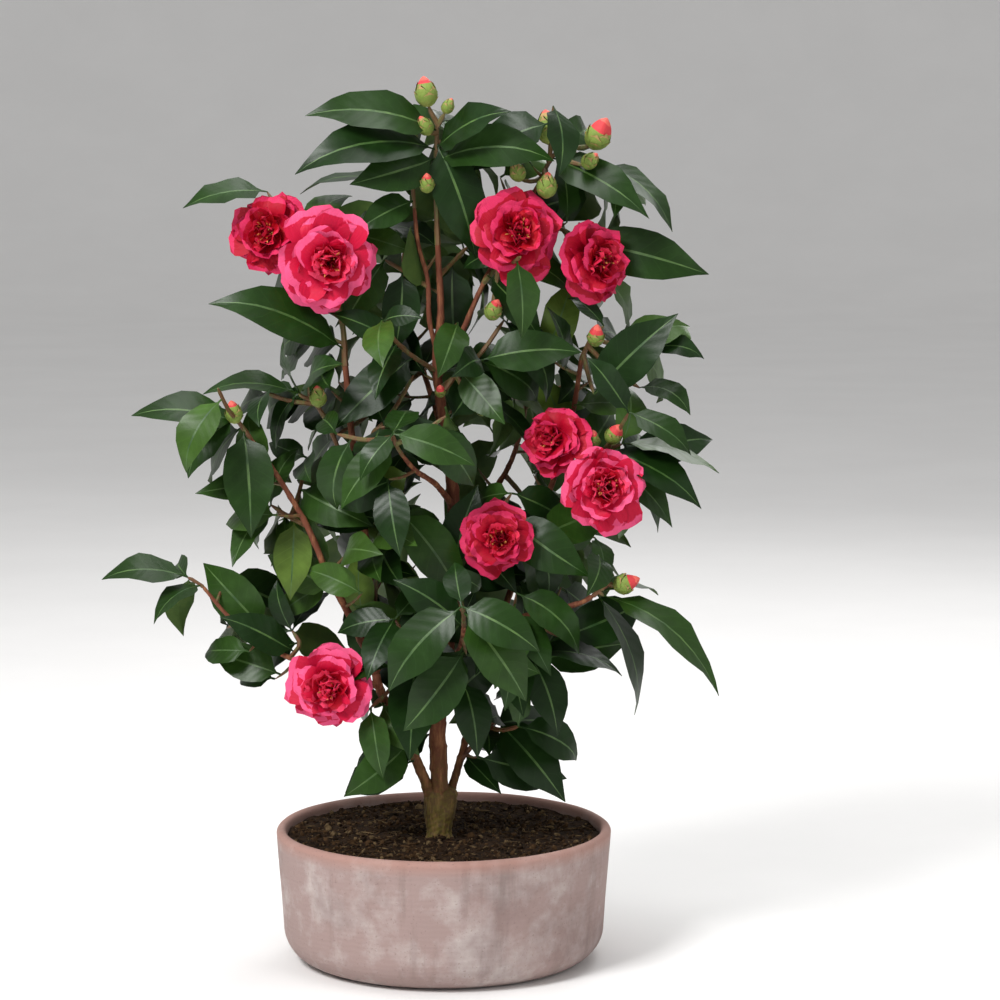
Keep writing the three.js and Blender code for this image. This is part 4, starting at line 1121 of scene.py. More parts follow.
    def _meets_flower(self, points: Array) -> bool:
        """Whether points come inside a bloom's flattened ball or a bud's ball.

        Args:
            points: three numbers each.

        Returns:
            True where one does.
        """
        for flower in self.flowers:
            offset = points - flower.middle
            if flower.stage is not None:
                if (np.linalg.norm(offset, axis=1) < 0.5 * flower.width).any():
                    return True
                continue
            height = offset @ flower.facing
            aside = np.sqrt(np.maximum(0, (offset**2).sum(1) - height**2))
            if (np.hypot(aside / (0.5 * flower.width + self.clearance),
                         height / (TWIG.bloom_depth * flower.width + self.clearance)) < 1).any():
                return True
        return False

    def _meets_leaf(self, leaf: Leaf) -> bool:
        """Whether a leaf and any leaf close by come nearer than the clearance, seen from either blade.

        Args:
            leaf: the leaf.

        Returns:
            True where it does.
        """
        if not self.blades.leaves:
            return False
        if self._meets_blade(leaf.samples, leaf.root):
            return True
        own = {name: np.array(getattr(leaf, name)) for name in Blades.NAMES}
        return touches(self.blades.near(leaf.root, 2 * self.NEAR)["samples"], own, self.clearance)

    def _meets_blade(self, points: Array, place: Array) -> bool:
        """Whether points near a place touch the blade of any leaf.

        Args:
            points: three numbers each.
            place: where they are.

        Returns:
            True where one does.
        """
        near = self.blades.near(place, 2 * self.NEAR)
        blades = {name: values[:, None] for name, values in near.items()}
        return touches(points[None], blades, self.clearance)

    def _in_crown(self, points: Array) -> Array:
        """Which points lie in the space of some mass and in the solids' box."""
        boxed = ((points > self.box[0]) & (points < self.box[1])).all(1)
        return boxed & ((((points[:, None] - self.centres) / self.radii) ** 2).sum(-1) <= 1).any(1)

    def _grow_fine(self) -> None:
        """Finer leafy twigs all along the limbs and the stems of the masses, where there is room."""
        self.clearance = TWIG.fine_clearance
        self.inner_samples = ROW
        shown = [(flower.middle, TWIG.flower_shown * flower.width) for flower in self.flowers]
        self.flower_lines = np.vstack([self.flower_lines, sight_lines(shown)])
        for growth in self.growths:
            for number, shoot in enumerate(growth.shoots):
                if not shoot.bare:
                    self._dress_tip(growth, shoot, number)
        carriers = [(limb, MASSES[0]) for limb in self.limbs.values()]
        carriers += [(growth.stem, growth.mass) for growth in self.growths]
        for index, (carrier, mass) in enumerate(carriers):
            growth = Growth(mass, index, carrier)
            length = carrier.curve.length()
            for i in range(int(length / TWIG.fine_spacing)):
                self._grow_fine_twig(growth, carrier, (i + 0.5) * TWIG.fine_spacing / length, i)
            self.fine.append(growth)

    def _grow_fine_twig(self, growth: Growth, carrier: Shoot, at: float, place: int) -> None:
        """One finer twig with its leaves, kept only where a leaf of it finds room.

        Args:
            growth: where it is kept.
            carrier: what it grows on.
            at: fraction of the carrier.
            place: its number along the carrier.
        """
        numbers = SeededNumbers(growth.index, TWIG.fine_seed + place)
        start = carrier.curve.point(at)
        if start[2] < TWIG.fine_lowest:
            return
        way = unit(self._turned_way(carrier, at, place, growth.index, numbers)
                   + numbers.between(*TWIG.fine_forward) * carrier.curve.tangent(at)
                   + numbers.between(*TWIG.fine_upward) * UP)
        twig = self._twig(carrier, at, start + way * numbers.between(*TWIG.fine_length), TWIG.fine_radii)
        if not self._in_crown(twig.marks[Shoot.MARKS_A_SPAN:]).all() or self._twig_hits(twig):
            return
        last = 0.0
        for i in range(TWIG.fine_leaves):
            share = 1 - TWIG.fine_leaf_step * i
            draw = self._draw(SeededNumbers(growth.index, TWIG.fine_leaf_seed + place, i),
                              TWIG.fine_leaf_length)
            leaf = self._first_free(twig, share, i, draw, self._in_crown)
            if self._keep(growth, leaf, FINE_SPRAYS + CARRIER_STEP * growth.index + place):
                last = max(last, share)
        if last > 0:
            cut = Shoot(Curve(twig.curve.point(np.array([0, 0.5, 1]) * last)), twig.radii, bare=True)
            growth.shoots.append(cut)
            self._stand(cut)

    def _dress_tip(self, growth: Growth, shoot: Shoot, number: int) -> None:
        """Leaves round the very tip of a shoot, where the rule's own leaves left room.

        Args:
            growth: where they are kept.
            shoot: what they grow on.
            number: the shoot's.
        """
        for i in range(TWIG.tip_leaves):
            draw = self._draw(SeededNumbers(growth.index, TWIG.tip_leaf_seed + number, i),
                              TWIG.tip_leaf_length)
            leaf = self._first_free(shoot, 1.0, i, draw, self._in_crown)
            self._keep(growth, leaf, TIP_SPRAYS + MASS_STEP * growth.index + number)

    def _twig_hits(self, twig: Shoot) -> bool:
        """Whether a finer twig's outer part meets anything, or crosses an opening.

        Args:
            twig: the finer twig.

        Returns:
            True where it does.
        """
        outer = twig.marks[Shoot.MARKS_A_SPAN:]
        wood = np.vstack([self.limb_segments, self.shoot_segments])
        lines = np.vstack([self.free_lines, self.flower_lines])
        return (meets(outer, wood, self.clearance) or meets(outer, lines) or self._meets_flower(outer)
                or self._meets_blade(outer, outer[-1]))


def touches(points: Array, blade: dict[str, Array], clearance: float) -> bool:
    """Whether any point comes nearer to a blade than the clearance: each point is put in the blade's own
    arc, as a fraction along, a distance across and a height above its folded surface.

    Args:
        points: places, in any batches.
        blade: the arc's hinge, ways, radius, bend and length, in batches that fit.
        clearance: how near is too near.

    Returns:
        True where one does.
    """
    offset = points - blade["hinge"]
    ahead = (offset * blade["along"]).sum(-1)
    above = (offset * blade["face"]).sum(-1)
    side = (offset * blade["across"]).sum(-1)
    share = np.arctan2(ahead, above) / blade["bend"]
    lift = np.hypot(ahead, above) - blade["radius"]
    length = blade["length"]
    over = np.abs(side) <= leaf_half_width(length, np.minimum(share, LEAF.near_tip)) + clearance
    close = np.abs(lift - np.abs(side) * math.tan(LEAF.fold)) < clearance
    return bool(((share >= LEAF.from_root) & (share <= 1 + clearance / length) & over & close).any())


# Finishes


def linear(red: int, green: int, blue: int) -> tuple[float, float, float, float]:
    """A screen colour, 0 to 255 a channel, as the linear colour that shaders take."""
    channels = (value / 255 for value in (red, green, blue))
    return (*(v / 12.92 if v <= 0.04045 else ((v + 0.055) / 1.055) ** 2.4 for v in channels), 1.0)


class Shader:
    """One material's nodes: each call adds a node, gives its sockets values or links, and returns it."""

    def __init__(self, name: str) -> None:
        """Starts a material with its output and its surface.

        Args:
            name: of the material.
        """
        self.material = bpy.data.materials.new(name)
        self.material.use_nodes = True
        self.tree = self.material.node_tree
        self.surface = self.tree.nodes["Principled BSDF"]

    def add(self, kind: str, sockets: Optional[dict] = None, **settings: object) -> bpy.types.Node:
        """Adds a node.

        Args:
            kind: the node's type.
            sockets: values, or output sockets to link, by the input's name or number.
            settings: the node's own properties.

        Returns:
            The node.
        """
        node = self.tree.nodes.new(kind)
        for name, value in settings.items():
            setattr(node, name, value)
        self.feed(node, sockets or {})
        return node

    def feed(self, node: bpy.types.Node, sockets: dict) -> None:
        """Gives a node's inputs their values or links.

        Args:
            node: whose inputs.
            sockets: values, or output sockets to link, by name or number.
        """
        for name, value in sockets.items():
            if isinstance(value, Socket):
                self.tree.links.new(value, node.inputs[name])
            else:
                node.inputs[name].default_value = value

    def place(self) -> Socket:
        """The place on the piece, in metres."""
        return self.add("ShaderNodeTexCoord").outputs["Object"]

    def height(self, where: Socket) -> Socket:
        """The height of a place."""
        return self.add("ShaderNodeSeparateXYZ", {"Vector": where}).outputs["Z"]

    def blade_map(self) -> Sequence[Socket]:
        """A blade's own map, and its shares along and across.

        Returns:
            Three sockets.
        """
        uv = self.add("ShaderNodeUVMap", uv_map="blade").outputs["UV"]
        split = self.add("ShaderNodeSeparateXYZ", {"Vector": uv})
        return uv, split.outputs["X"], split.outputs["Y"]

    def number(self, operation: str, *values: Union[float, Socket]) -> Socket:
        """The result of one operation on numbers."""
        return self.add("ShaderNodeMath", dict(enumerate(values)), operation=operation).outputs[0]

    def step(self, value: Socket, low: float, high: float, end: float = 1.0,
             start: float = 0.0) -> Socket:
        """A number that runs from start to end while a value runs from low to high."""
        return self.add("ShaderNodeMapRange", {"Value": value, "From Min": low, "From Max": high,
                                               "To Min": start, "To Max": end}).outputs[0]

    def noise(self, where: Socket, scale: float, detail: float = 4,
              roughness: float = 0.55) -> Socket:
        """An uneven field from 0 to 1, with `scale` patches a metre."""
        return self.add("ShaderNodeTexNoise", {"Vector": where, "Scale": scale, "Detail": detail,
                                               "Roughness": roughness}).outputs["Fac"]

    def ramp(self, factor: Socket, stops: Sequence[tuple[float, tuple]]) -> Socket:
        """Colours along a factor, at stops of place and colour.

        Args:
            factor: what picks the colour.
            stops: place and colour of each.

        Returns:
            The colour.
        """
        node = self.add("ShaderNodeValToRGB", {"Fac": factor})
        while len(node.color_ramp.elements) < len(stops):
            node.color_ramp.elements.new(0.5)
        for element, (place, colour) in zip(node.color_ramp.elements, stops):
            element.position = place
            element.color = colour
        return node.outputs["Color"]

    def blend(self, factor: Socket, first: object, second: object) -> Socket:
        """The mixture of two colours.

        Args:
            factor: share of the second.
            first: colour at 0.
            second: colour at 1.

        Returns:
            The colour.
        """
        node = self.add("ShaderNodeMix", data_type="RGBA")
        self.feed(node, {0: factor, 6: first, 7: second})
        return node.outputs[2]

    def stretch(self, where: Socket, scale: Triple) -> Socket:
        """Coordinates scaled by an amount each way."""
        return self.add("ShaderNodeMapping", {"Vector": where, "Scale": scale}).outputs["Vector"]

    def relief(self, height: Socket, strength: float, depth: float,
               under: Optional[Socket] = None) -> Socket:
        """Bumps of a depth in metres, over an earlier relief where one is given.

        Args:
            height: the field of heights.
            strength: from 0 to 1.
            depth: in metres.
            under: the earlier relief.

        Returns:
            The normal.
        """
        sockets = {"Height": height, "Strength": strength, "Distance": depth}
        if under is not None:
            sockets["Normal"] = under
        return self.add("ShaderNodeBump", sockets).outputs["Normal"]

    def finish(self, **sockets: object) -> Material:
        """Sets the surface's sockets, whose names here have underscores, and returns the material."""
        self.feed(self.surface, {name.replace("_", " "): value for name, value in sockets.items()})
        return self.material


@dataclass(frozen=True)
class BladeFinish:
    """The upper face of a leaf: glossy, with side veins that curve from the midrib to the margin."""

    name: str
    colour: Colour
    veins: float = 9
    slant: float = 0.16

    def material(self) -> Material:
        """Green mottled a little from place to place, sunk side veins, and a waxy gloss.

        Returns:
            The material.
        """
        shader = Shader(self.name)
        place = shader.place()
        base = linear(*self.colour)
        pale = tuple(min(1.0, value * 1.45 + 0.004) for value in base[:3]) + (1.0,)
        deep = tuple(value * 0.72 for value in base[:3]) + (1.0,)
        tint = shader.ramp(shader.noise(place, 34, 3), [(0.3, deep), (0.55, base), (0.8, pale)])
        _, along, across = shader.blade_map()
        slant = shader.number("MULTIPLY_ADD", shader.number("ABSOLUTE", across), -self.slant, along)
        wave = shader.number("COSINE", shader.number("MULTIPLY", slant, 2 * math.pi * self.veins))
        colour = shader.blend(shader.step(wave, 0.95, 1.0, 0.3), tint, pale)
        dimples = shader.relief(shader.noise(place, 420, 2), 0.15, 0.0005)
        normal = shader.relief(wave, 0.08, 0.0005, dimples)
        return shader.finish(Base_Color=colour, Roughness=0.34, Specular_IOR_Level=0.2, Normal=normal)


@dataclass(frozen=True)
class PlainFinish:
    """A soft-coloured finish with a mottle between two colours and a fine relief."""

    name: str
    colour: Colour
    second: Colour
    scale: float = 60
    roughness: float = 0.55
    depth: float = 0.0004
    grain: float = 500
    shine: float = 0.5

    def material(self) -> Material:
        """Noise mixes the two colours, finer noise gives the relief.

        Returns:
            The material.
        """
        shader = Shader(self.name)
        place = shader.place()
        colour = shader.ramp(shader.noise(place, self.scale),
                             [(0.35, linear(*self.colour)), (0.68, linear(*self.second))])
        normal = shader.relief(shader.noise(place, self.grain, 3), 0.4, self.depth)
        return shader.finish(Base_Color=colour, Roughness=self.roughness, Specular_IOR_Level=self.shine,
                             Normal=normal)


@dataclass(frozen=True)
class PetalFinish:
    """Petals: deep at the foot, bright over the blade, paler at the rim, with faint lengthwise veins."""

    name: str
    foot: Colour
    blade: Colour
    rim: Colour

    def material(self) -> Material:
        """Colour runs along the petal by its own map and fine streaks follow its length.

        Returns:
            The material.
        """
        shader = Shader(self.name)
        uv, along, _ = shader.blade_map()
        place = shader.number("MULTIPLY_ADD", shader.noise(shader.place(), 70, 3), 0.3, along)
        colour = shader.ramp(place, [(0.22, linear(*self.foot)), (0.62, linear(*self.blade)),
                                     (0.98, linear(*self.blade)), (1.16, linear(*self.rim))])
        streaks = shader.noise(shader.stretch(uv, (1.5, 14, 1)), 2.2, 2)
        normal = shader.relief(streaks, 0.5, 0.0012)
        return shader.finish(Base_Color=colour, Roughness=0.55, Normal=normal, Subsurface_Weight=0.08,
                             Subsurface_Radius=(0.004, 0.0012, 0.0012), Specular_IOR_Level=0.22)


@dataclass(frozen=True)
class BarkFinish:
    """Bark that runs from one colour low down to another higher up, streaked along the stem."""

    name: str
    low: Colour
    high: Colour
    streak: Colour
    from_height: float = 0.13
    to_height: float = 0.24
    roughness: float = 0.8
    moss: Colour = (94, 84, 18)
    mossy: float = 0.0
    scale: float = 190

    def material(self) -> Material:
        """Height picks the colour, stretched noise streaks it, and finer noise roughens it.

        Returns:
            The material.
        """
        shader = Shader(self.name)
        place = shader.place()
        height = shader.height(place)
        share = shader.step(height, self.from_height, self.to_height)
        ground = shader.blend(share, linear(*self.low), linear(*self.high))
        long_grain = shader.noise(shader.stretch(place, (1, 1, 0.22)), self.scale, 4, 0.6)
        colour = shader.blend(shader.step(long_grain, 0.48, 0.7), ground, linear(*self.streak))
        damp = shader.step(height, self.from_height, self.to_height, 0.0, self.mossy)
        tufts = shader.step(shader.noise(place, 260, 5, 0.65), 0.42, 0.6)
        colour = shader.blend(shader.number("MULTIPLY", damp, tufts), colour, linear(*self.moss))
        fine = shader.relief(shader.noise(place, 900, 3), 0.35, 0.0004)
        normal = shader.relief(long_grain, 0.6, 0.0014, fine)
        return shader.finish(Base_Color=colour, Roughness=self.roughness, Normal=normal)


@dataclass(frozen=True)
class TerracottaFinish:
    """Weathered terracotta: dusty pink, bleached in blotches and pinker at the rim."""

    body: Colour = (158, 136, 131)
    bleach: Colour = (188, 176, 172)
    stain: Colour = (124, 102, 98)
    rim: Colour = (170, 124, 110)
    streak: Colour = (112, 96, 92)
    rim_height: float = 0.118

    def material(self) -> Material:
        """Noises lay bleach, stains, runs and specks, height tints the rim, and waves give the lines.

        Returns:
            The material.
        """
        shader = Shader("weathered terracotta")
        place = shader.place()
        bleach = shader.step(shader.noise(place, 17, 7, 0.62), 0.46, 0.66)
        stain = shader.step(shader.noise(place, 9, 5, 0.6), 0.52, 0.75)
        upright = shader.stretch(place, (1, 1, 0.12))
        runs = shader.step(shader.noise(upright, 34, 5, 0.6), 0.54, 0.72, 0.55)
        edge = shader.step(shader.height(place), self.rim_height, self.rim_height + 0.012, 0.6)
        specks = shader.step(shader.noise(place, 420, 2), 0.62, 0.72, 0.5)
        colour = linear(*self.body)
        for share, laid in ((bleach, self.bleach), (stain, self.stain), (runs, self.streak),
                            (edge, self.rim), (specks, self.stain)):
            colour = shader.blend(share, colour, linear(*laid))
        lines = shader.add("ShaderNodeTexWave", {"Vector": place, "Scale": 60, "Distortion": 3.0,
                                                 "Detail Scale": 1.5}, bands_direction="Z").outputs["Fac"]
        grit = shader.relief(shader.noise(place, 700, 5, 0.6), 0.35, 0.0007)
        normal = shader.relief(lines, 0.18, 0.0008, grit)
        return shader.finish(Base_Color=colour, Roughness=0.88, Normal=normal)


# Meshes


def put(name: str, data: bpy.types.ID) -> Piece:
    """Makes an object of a mesh, a light or a camera, and links it to the scene.

    Args:
        name: of the object.
        data: what it shows.

    Returns:
        The object.
    """
    made = bpy.data.objects.new(name, data)
    bpy.context.scene.collection.objects.link(made)
    return made


def shell_quads(rows: int, columns: int) -> tuple[Array, Array]:
    """The faces of a thin closed shell whose upper and under grids share their outline.

    Args:
        rows: points along.
        columns: points across.

    Returns:
        Four point numbers a face, and each face's column, less one and below zero on the under side.
    """
    upper = np.arange(rows * columns).reshape(rows, columns)
    under = upper.copy()
    inner = (rows - 2) * (columns - 2)
    under[1:-1, 1:-1] = rows * columns + np.arange(inner).reshape(rows - 2, columns - 2)
    strips = np.tile(np.arange(columns - 1), rows - 1)
    top = np.stack([upper[:-1, :-1], upper[:-1, 1:], upper[1:, 1:], upper[1:, :-1]], -1).reshape(-1, 4)
    low = np.stack([under[:-1, :-1], under[1:, :-1], under[1:, 1:], under[:-1, 1:]], -1).reshape(-1, 4)
    return np.vstack([top, low]), np.concatenate([strips, -1 - strips])


class Patchwork:
    """Gathers surfaces in millimetres and joins them into one mesh."""

    def __init__(self) -> None:
        """Starts with nothing."""
        self.points: list[Array] = []
        self.faces: list[Array] = []
        self.slots: list[Array] = []
        self.maps: list[Array] = []
        self.count = 0

    def add(self, points: Array, faces: Array, slots: Union[int, Array] = 0,
            maps: Optional[Array] = None) -> None:
        """Adds a surface.

        Args:
            points: its points, three numbers each.
            faces: four point numbers a face; a triangle repeats its last one.
            slots: the material slot of each face, or of all of them.
            maps: two numbers a point for the surface's own map.
        """
        self.points.append(points.reshape(-1, 3))
        self.faces.append(faces.reshape(-1, 4) + self.count)
        self.slots.append(np.broadcast_to(slots, len(self.faces[-1])))
        self.maps.append(np.zeros((len(self.points[-1]), 2)) if maps is None else maps.reshape(-1, 2))
        self.count += len(self.points[-1])

    def add_many(self, points: Array, faces: Array, slots: Union[int, Array] = 0,
                 maps: Optional[Array] = None) -> None:
        """Adds the same pattern of faces over many sets of points, N by V by 3.

        Args:
            points: N by V by 3.
            faces: of one set.
            slots: of each face, or of all of them.
            maps: two numbers a point.
        """
        number, size = points.shape[:2]
        numbered = faces[None] + (np.arange(number) * size)[:, None, None]
        if not np.isscalar(slots):
            slots = np.broadcast_to(slots, (number, len(faces))).reshape(-1)
        if maps is not None:
            maps = np.broadcast_to(maps, (number, size, 2))
        self.add(points, numbered, slots, maps)

    def shells(self, top: Array, under: Array, slots: Union[int, Array], along: Array,
               across: Array) -> None:
        """Adds thin closed shells whose upper and under sides share their outline.

        Args:
            top: the upper sides, N by rows by columns by 3.
            under: the under sides, of which the inner points are used.
            slots: the material slot of each face, or of all of them.
            along: the map's first number for each row.
            across: the map's second number for each column.
        """
        number, rows, columns = top.shape[:3]
        inner = under[:, 1:-1, 1:-1].reshape(number, -1, 3)
        grid = np.stack(np.broadcast_arrays(along.reshape(-1, 1), across.reshape(1, -1)), -1)
        maps = np.vstack([grid.reshape(-1, 2), grid[1:-1, 1:-1].reshape(-1, 2)])
        points = np.concatenate([top.reshape(number, -1, 3), inner], axis=1)
        self.add_many(points, shell_quads(rows, columns)[0], slots, maps)

    def tube(self, path: Array, radii: Array, sides: int, slot: int = 0,
             swell: Optional[Test] = None) -> None:
        """Adds a closed tube: rings square to the path, carried along it without twist.

        Args:
            path: the ring centres.
            radii: the radius at each.
            sides: points a ring.
            slot: the material slot.
            swell: gives each skin point an outward push, from the points.
        """
        along = unit(np.gradient(path, axis=0))
        side = np.empty_like(path)
        side[0] = beside(along[0])
        for i in range(1, len(path)):
            side[i] = square_to(side[i - 1], along[i])
        x, y = circle(sides).T[..., None]
        ways = x * side[:, None] + y * np.cross(along, side)[:, None]
        skin = path[:, None] + ways * radii[:, None, None]
        if swell:
            skin = skin + ways * swell(skin)[..., None]
        points = np.vstack([path[:1], skin.reshape(-1, 3), path[-1:]])
        self.add(points, tube_faces(len(path), sides), slot)

    def piece(self, name: str, finishes: Sequence[Material], slot: str,
              replaced: Sequence[str] = ()) -> Piece:
        """Makes the piece and says what it rides on, is finished with and stands for.

        Args:
            name: of the piece.
            finishes: its materials, in slot order.
            slot: the record's material slot; not used.
            replaced: the solids that it stands for.

        Returns:
            The piece's object.
        """
        points = np.vstack(self.points) * MM
        faces = np.vstack(self.faces)
        keep = np.ones((len(faces), 4), bool)
        keep[:, 3] = faces[:, 2] != faces[:, 3]
        corners, sizes = faces[keep], keep.sum(1)
        mesh = bpy.data.meshes.new(name)
        mesh.vertices.add(len(points))
        mesh.vertices.foreach_set("co", points.astype(np.float32).reshape(-1))
        mesh.loops.add(len(corners))
        mesh.loops.foreach_set("vertex_index", corners.astype(np.int32))
        mesh.polygons.add(len(faces))
        mesh.polygons.foreach_set("loop_start", (np.cumsum(sizes) - sizes).astype(np.int32))
        mesh.polygons.foreach_set("material_index", np.concatenate(self.slots).astype(np.int32))
        mesh.polygons.foreach_set("use_smooth", np.ones(len(faces), bool))
        maps = np.vstack(self.maps)
        layer = mesh.uv_layers.new(name="blade")
        layer.uv.foreach_set("vector", maps[corners].astype(np.float32).reshape(-1))
        mesh.update(calc_edges=True)
        mesh.validate()
        mesh.set_sharp_from_angle(angle=SHARP)
        for finish in finishes:
            mesh.materials.append(finish)
        made = put(name, mesh)
        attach(made, "root")
        if replaced:
            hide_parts(*replaced)
        log.info("%s: %d triangles", name, int((sizes - 2).sum()))
        return made


def tube_faces(rings: int, sides: int) -> Array:
    """The faces of a tube of rings, with the first and the last point in the middle of its ends.

    Args:
        rings: how many rings.
        sides: points a ring.

    Returns:
        Four point numbers a face; a triangle repeats its last one.
    """
    ring = 1 + np.arange(rings * sides).reshape(rings, sides)
    following = np.roll(ring, -1, axis=1)
    wall = np.stack([ring[:-1], following[:-1], following[1:], ring[1:]], -1).reshape(-1, 4)
    last = np.full(sides, 1 + rings * sides)
    foot = np.stack([following[0], ring[0], np.zeros(sides, int), np.zeros(sides, int)], -1)
    tip = np.stack([ring[-1], following[-1], last, last], -1)
    return np.vstack([wall, foot, tip])


# The planter


@dataclass(frozen=True)
class Bowl:
    """The low round terracotta bowl, turned from one profile."""

    radius: float = 169
    foot: float = 128
    corner: float = 34
    lip: float = 5
    wall: float = 11
    floor: float = 14
    inner_corner: float = 24
    segments: int = 168
    step: float = 3.5
    waver: float = 0.35
    finish: TerracottaFinish = TerracottaFinish()

    @staticmethod
    def _arc(centre: Span, radius: float, start: float, end: float, steps: int) -> Array:
        """Points of an arc about a centre, from a start angle to an end angle in degrees."""
        angle = np.radians(np.linspace(start, end, steps + 1))
        return np.stack([centre[0] + radius * np.cos(angle), centre[1] + radius * np.sin(angle)], -1)

    def _profile(self) -> Array:
        """Radius and height from the underside's middle, up the wall, over the lip and to the floor.

        Returns:
            Two numbers a point.
        """
        inner_foot = self.foot + self.corner - self.wall
        lip_centre = (self.radius - self.lip, BOWL_HEIGHT - self.lip)
        corners = [
            np.array([[6.0, 0.0], [60.0, 0.0]]),
            self._arc((self.foot, self.corner), self.corner, -90, 0, 14),
            self._arc(lip_centre, self.lip, 0, 180, 16),
            self._arc((inner_foot - self.inner_corner, self.floor + self.inner_corner), self.inner_corner,
                      0, -90, 8),
            np.array([[50.0, self.floor], [6.0, self.floor]]),
        ]
        path = np.vstack(corners)
        steps = np.maximum(1, (np.linalg.norm(np.diff(path, axis=0), axis=1) / self.step).astype(int))
        parts = [mix(path[i], path[i + 1], np.arange(count)[:, None] / count)
                 for i, count in enumerate(steps)]
        return np.vstack([*parts, path[-1:]])

    def build(self) -> Piece:
        """Turns the profile round the axis. A slow ripple makes the wall waver as hand-made clay does.

        Returns:
            The piece.
        """
        profile = self._profile()
        skin = turned(profile[:, 0], profile[:, 1], self.segments)
        push = self.waver * ripple(skin, 160, 3) * np.clip(profile[:, 0] / self.foot, 0, 1)[:, None]
        skin[..., :2] += circle(self.segments) * push[..., None]
        skin[..., 2] += 0.5 * self.waver * ripple(skin, 90, 4) * (profile[:, 1] > self.floor + 1)[:, None]
        patch = Patchwork()
        points = np.vstack([[[0, 0, 0]], skin.reshape(-1, 3), [[0, 0, self.floor]]])
        patch.add(points, tube_faces(len(profile), self.segments))
        return patch.piece("bowl", [self.finish.material()], "terracotta", ["planter"])


@dataclass(frozen=True)
class Soil:
    """Crumbly dark compost, a little mounded at the trunk."""

    edge: float = 157.5
    # Radius and height of the underside's and the side's points.
    side: tuple[Span, ...] = ((5, 14.6), (126, 14.6), (149, 40), (156, 100))
    mound: float = 2.5
    mound_reach: float = 30
    segments: int = 150
    rings: int = 60
    crumbs: int = 4200
    fibres: float = 0.45
    shares: tuple[float, ...] = (0.4, 0.36, 0.24)
    seed: int = 11

    def height(self, places: Array) -> Array:
        """The surface over a place: its mean level, a mound at the trunk, and clods as rippled lumps.

        Args:
            places: three numbers each.

        Returns:
            One height a place.
        """
        flat = np.concatenate([places[..., :2], np.zeros_like(places[..., :1])], -1)
        from_trunk = np.linalg.norm(flat[..., :2] - TRUNK_FOOT[:2], axis=-1)
        mound = self.mound * np.exp(-((from_trunk / self.mound_reach) ** 2))
        clods = 1.1 * ripple(flat, 42, 21) + 0.9 * np.abs(ripple(flat, 15, 22))
        clods = clods + 0.35 * ripple(flat, 6, 23)
        return SOIL_TOP - 1.4 + mound + clods

    def build(self) -> list[Piece]:
        """The bed as a turned body with a rippled top, and loose crumbs strewn over it.

        Returns:
            The pieces.
        """
        low = np.array(self.side)
        radii = np.concatenate([low[:, 0], np.linspace(self.edge, 1.5, self.rings)])
        skin = turned(radii, np.concatenate([low[:, 1], np.zeros(self.rings)]), self.segments)
        skin[len(low):, :, 2] = self.height(skin[len(low):])
        middle = np.array([[0, 0, self.height(np.zeros((1, 3)))[0]]])
        bed = Patchwork()
        bed.add(np.vstack([[[0, 0, low[0, 1]]], skin.reshape(-1, 3), middle]),
                tube_faces(len(radii), self.segments))
        made = bed.piece("potting_soil", [SOIL_FINISHES[0].material()], "compost", ["soil"])
        return [made, self._strew()]

    def _strew(self) -> Piece:
        """Crumbs: lumps of twenty faces, each stretched and turned, half sunk in the bed.

        Returns:
            The piece.
        """
        rng = np.random.default_rng(self.seed)
        reach = (self.edge - 4) * np.sqrt(rng.uniform(0, 1, self.crumbs))
        turn = rng.uniform(0, 2 * math.pi, self.crumbs)
        places = np.stack([reach * np.cos(turn), reach * np.sin(turn), np.zeros(self.crumbs)], -1)
        size = 0.8 + 2.6 * rng.uniform(0, 1, self.crumbs) ** 4
        places[:, 2] = self.height(places) + 0.25 * size
        golden = (1 + math.sqrt(5)) / 2
        corners = unit(np.array([[-1, golden, 0], [1, golden, 0], [-1, -golden, 0], [1, -golden, 0],
                                 [0, -1, golden], [0, 1, golden], [0, -1, -golden], [0, 1, -golden],
                                 [golden, 0, -1], [golden, 0, 1], [-golden, 0, -1], [-golden, 0, 1]]))
        triangles = np.array([[0, 11, 5], [0, 5, 1], [0, 1, 7], [0, 7, 10], [0, 10, 11],
                              [1, 5, 9], [5, 11, 4], [11, 10, 2], [10, 7, 6], [7, 1, 8],
                              [3, 9, 4], [3, 4, 2], [3, 2, 6], [3, 6, 8], [3, 8, 9],
                              [4, 9, 5], [2, 4, 11], [6, 2, 10], [8, 6, 7], [9, 8, 1]])
        faces = np.hstack([triangles, triangles[:, 2:]])
        turns = np.linalg.qr(rng.normal(size=(self.crumbs, 3, 3)))[0]
        turns *= np.linalg.det(turns)[:, None, None]
        fibre = (rng.uniform(0, 1, self.crumbs) < self.fibres)[:, None, None]
        turns[fibre[:, 0, 0], 1, 2] *= 0.3
        stretch = np.where(fibre, [0.3, 3.2, 0.35], rng.uniform(0.55, 1.4, (self.crumbs, 1, 3)))
        stretch = stretch * rng.uniform(0.75, 1.2, (self.crumbs, 12, 1))
        lumps = (corners * stretch) @ turns * size[:, None, None] + places[:, None]
        slots = rng.choice(len(SOIL_FINISHES), (self.crumbs, 1), p=self.shares)
        loose = Patchwork()
        loose.add_many(lumps, faces, slots)
        return loose.piece("soil_crumbs", [finish.material() for finish in SOIL_FINISHES], "compost")


SOIL_FINISHES = [
    PlainFinish("dark compost", (26, 18, 12), (54, 39, 27), 150, 1, 0.002, 800, 0.08),
    PlainFinish("brown crumbs", (50, 35, 22), (80, 60, 40), 200, 1, 0.0006, 900, 0.08),
    PlainFinish("pale crumbs", (108, 90, 64), (66, 51, 36), 200, 1, 0.0006, 900, 0.08),
]


# The wood


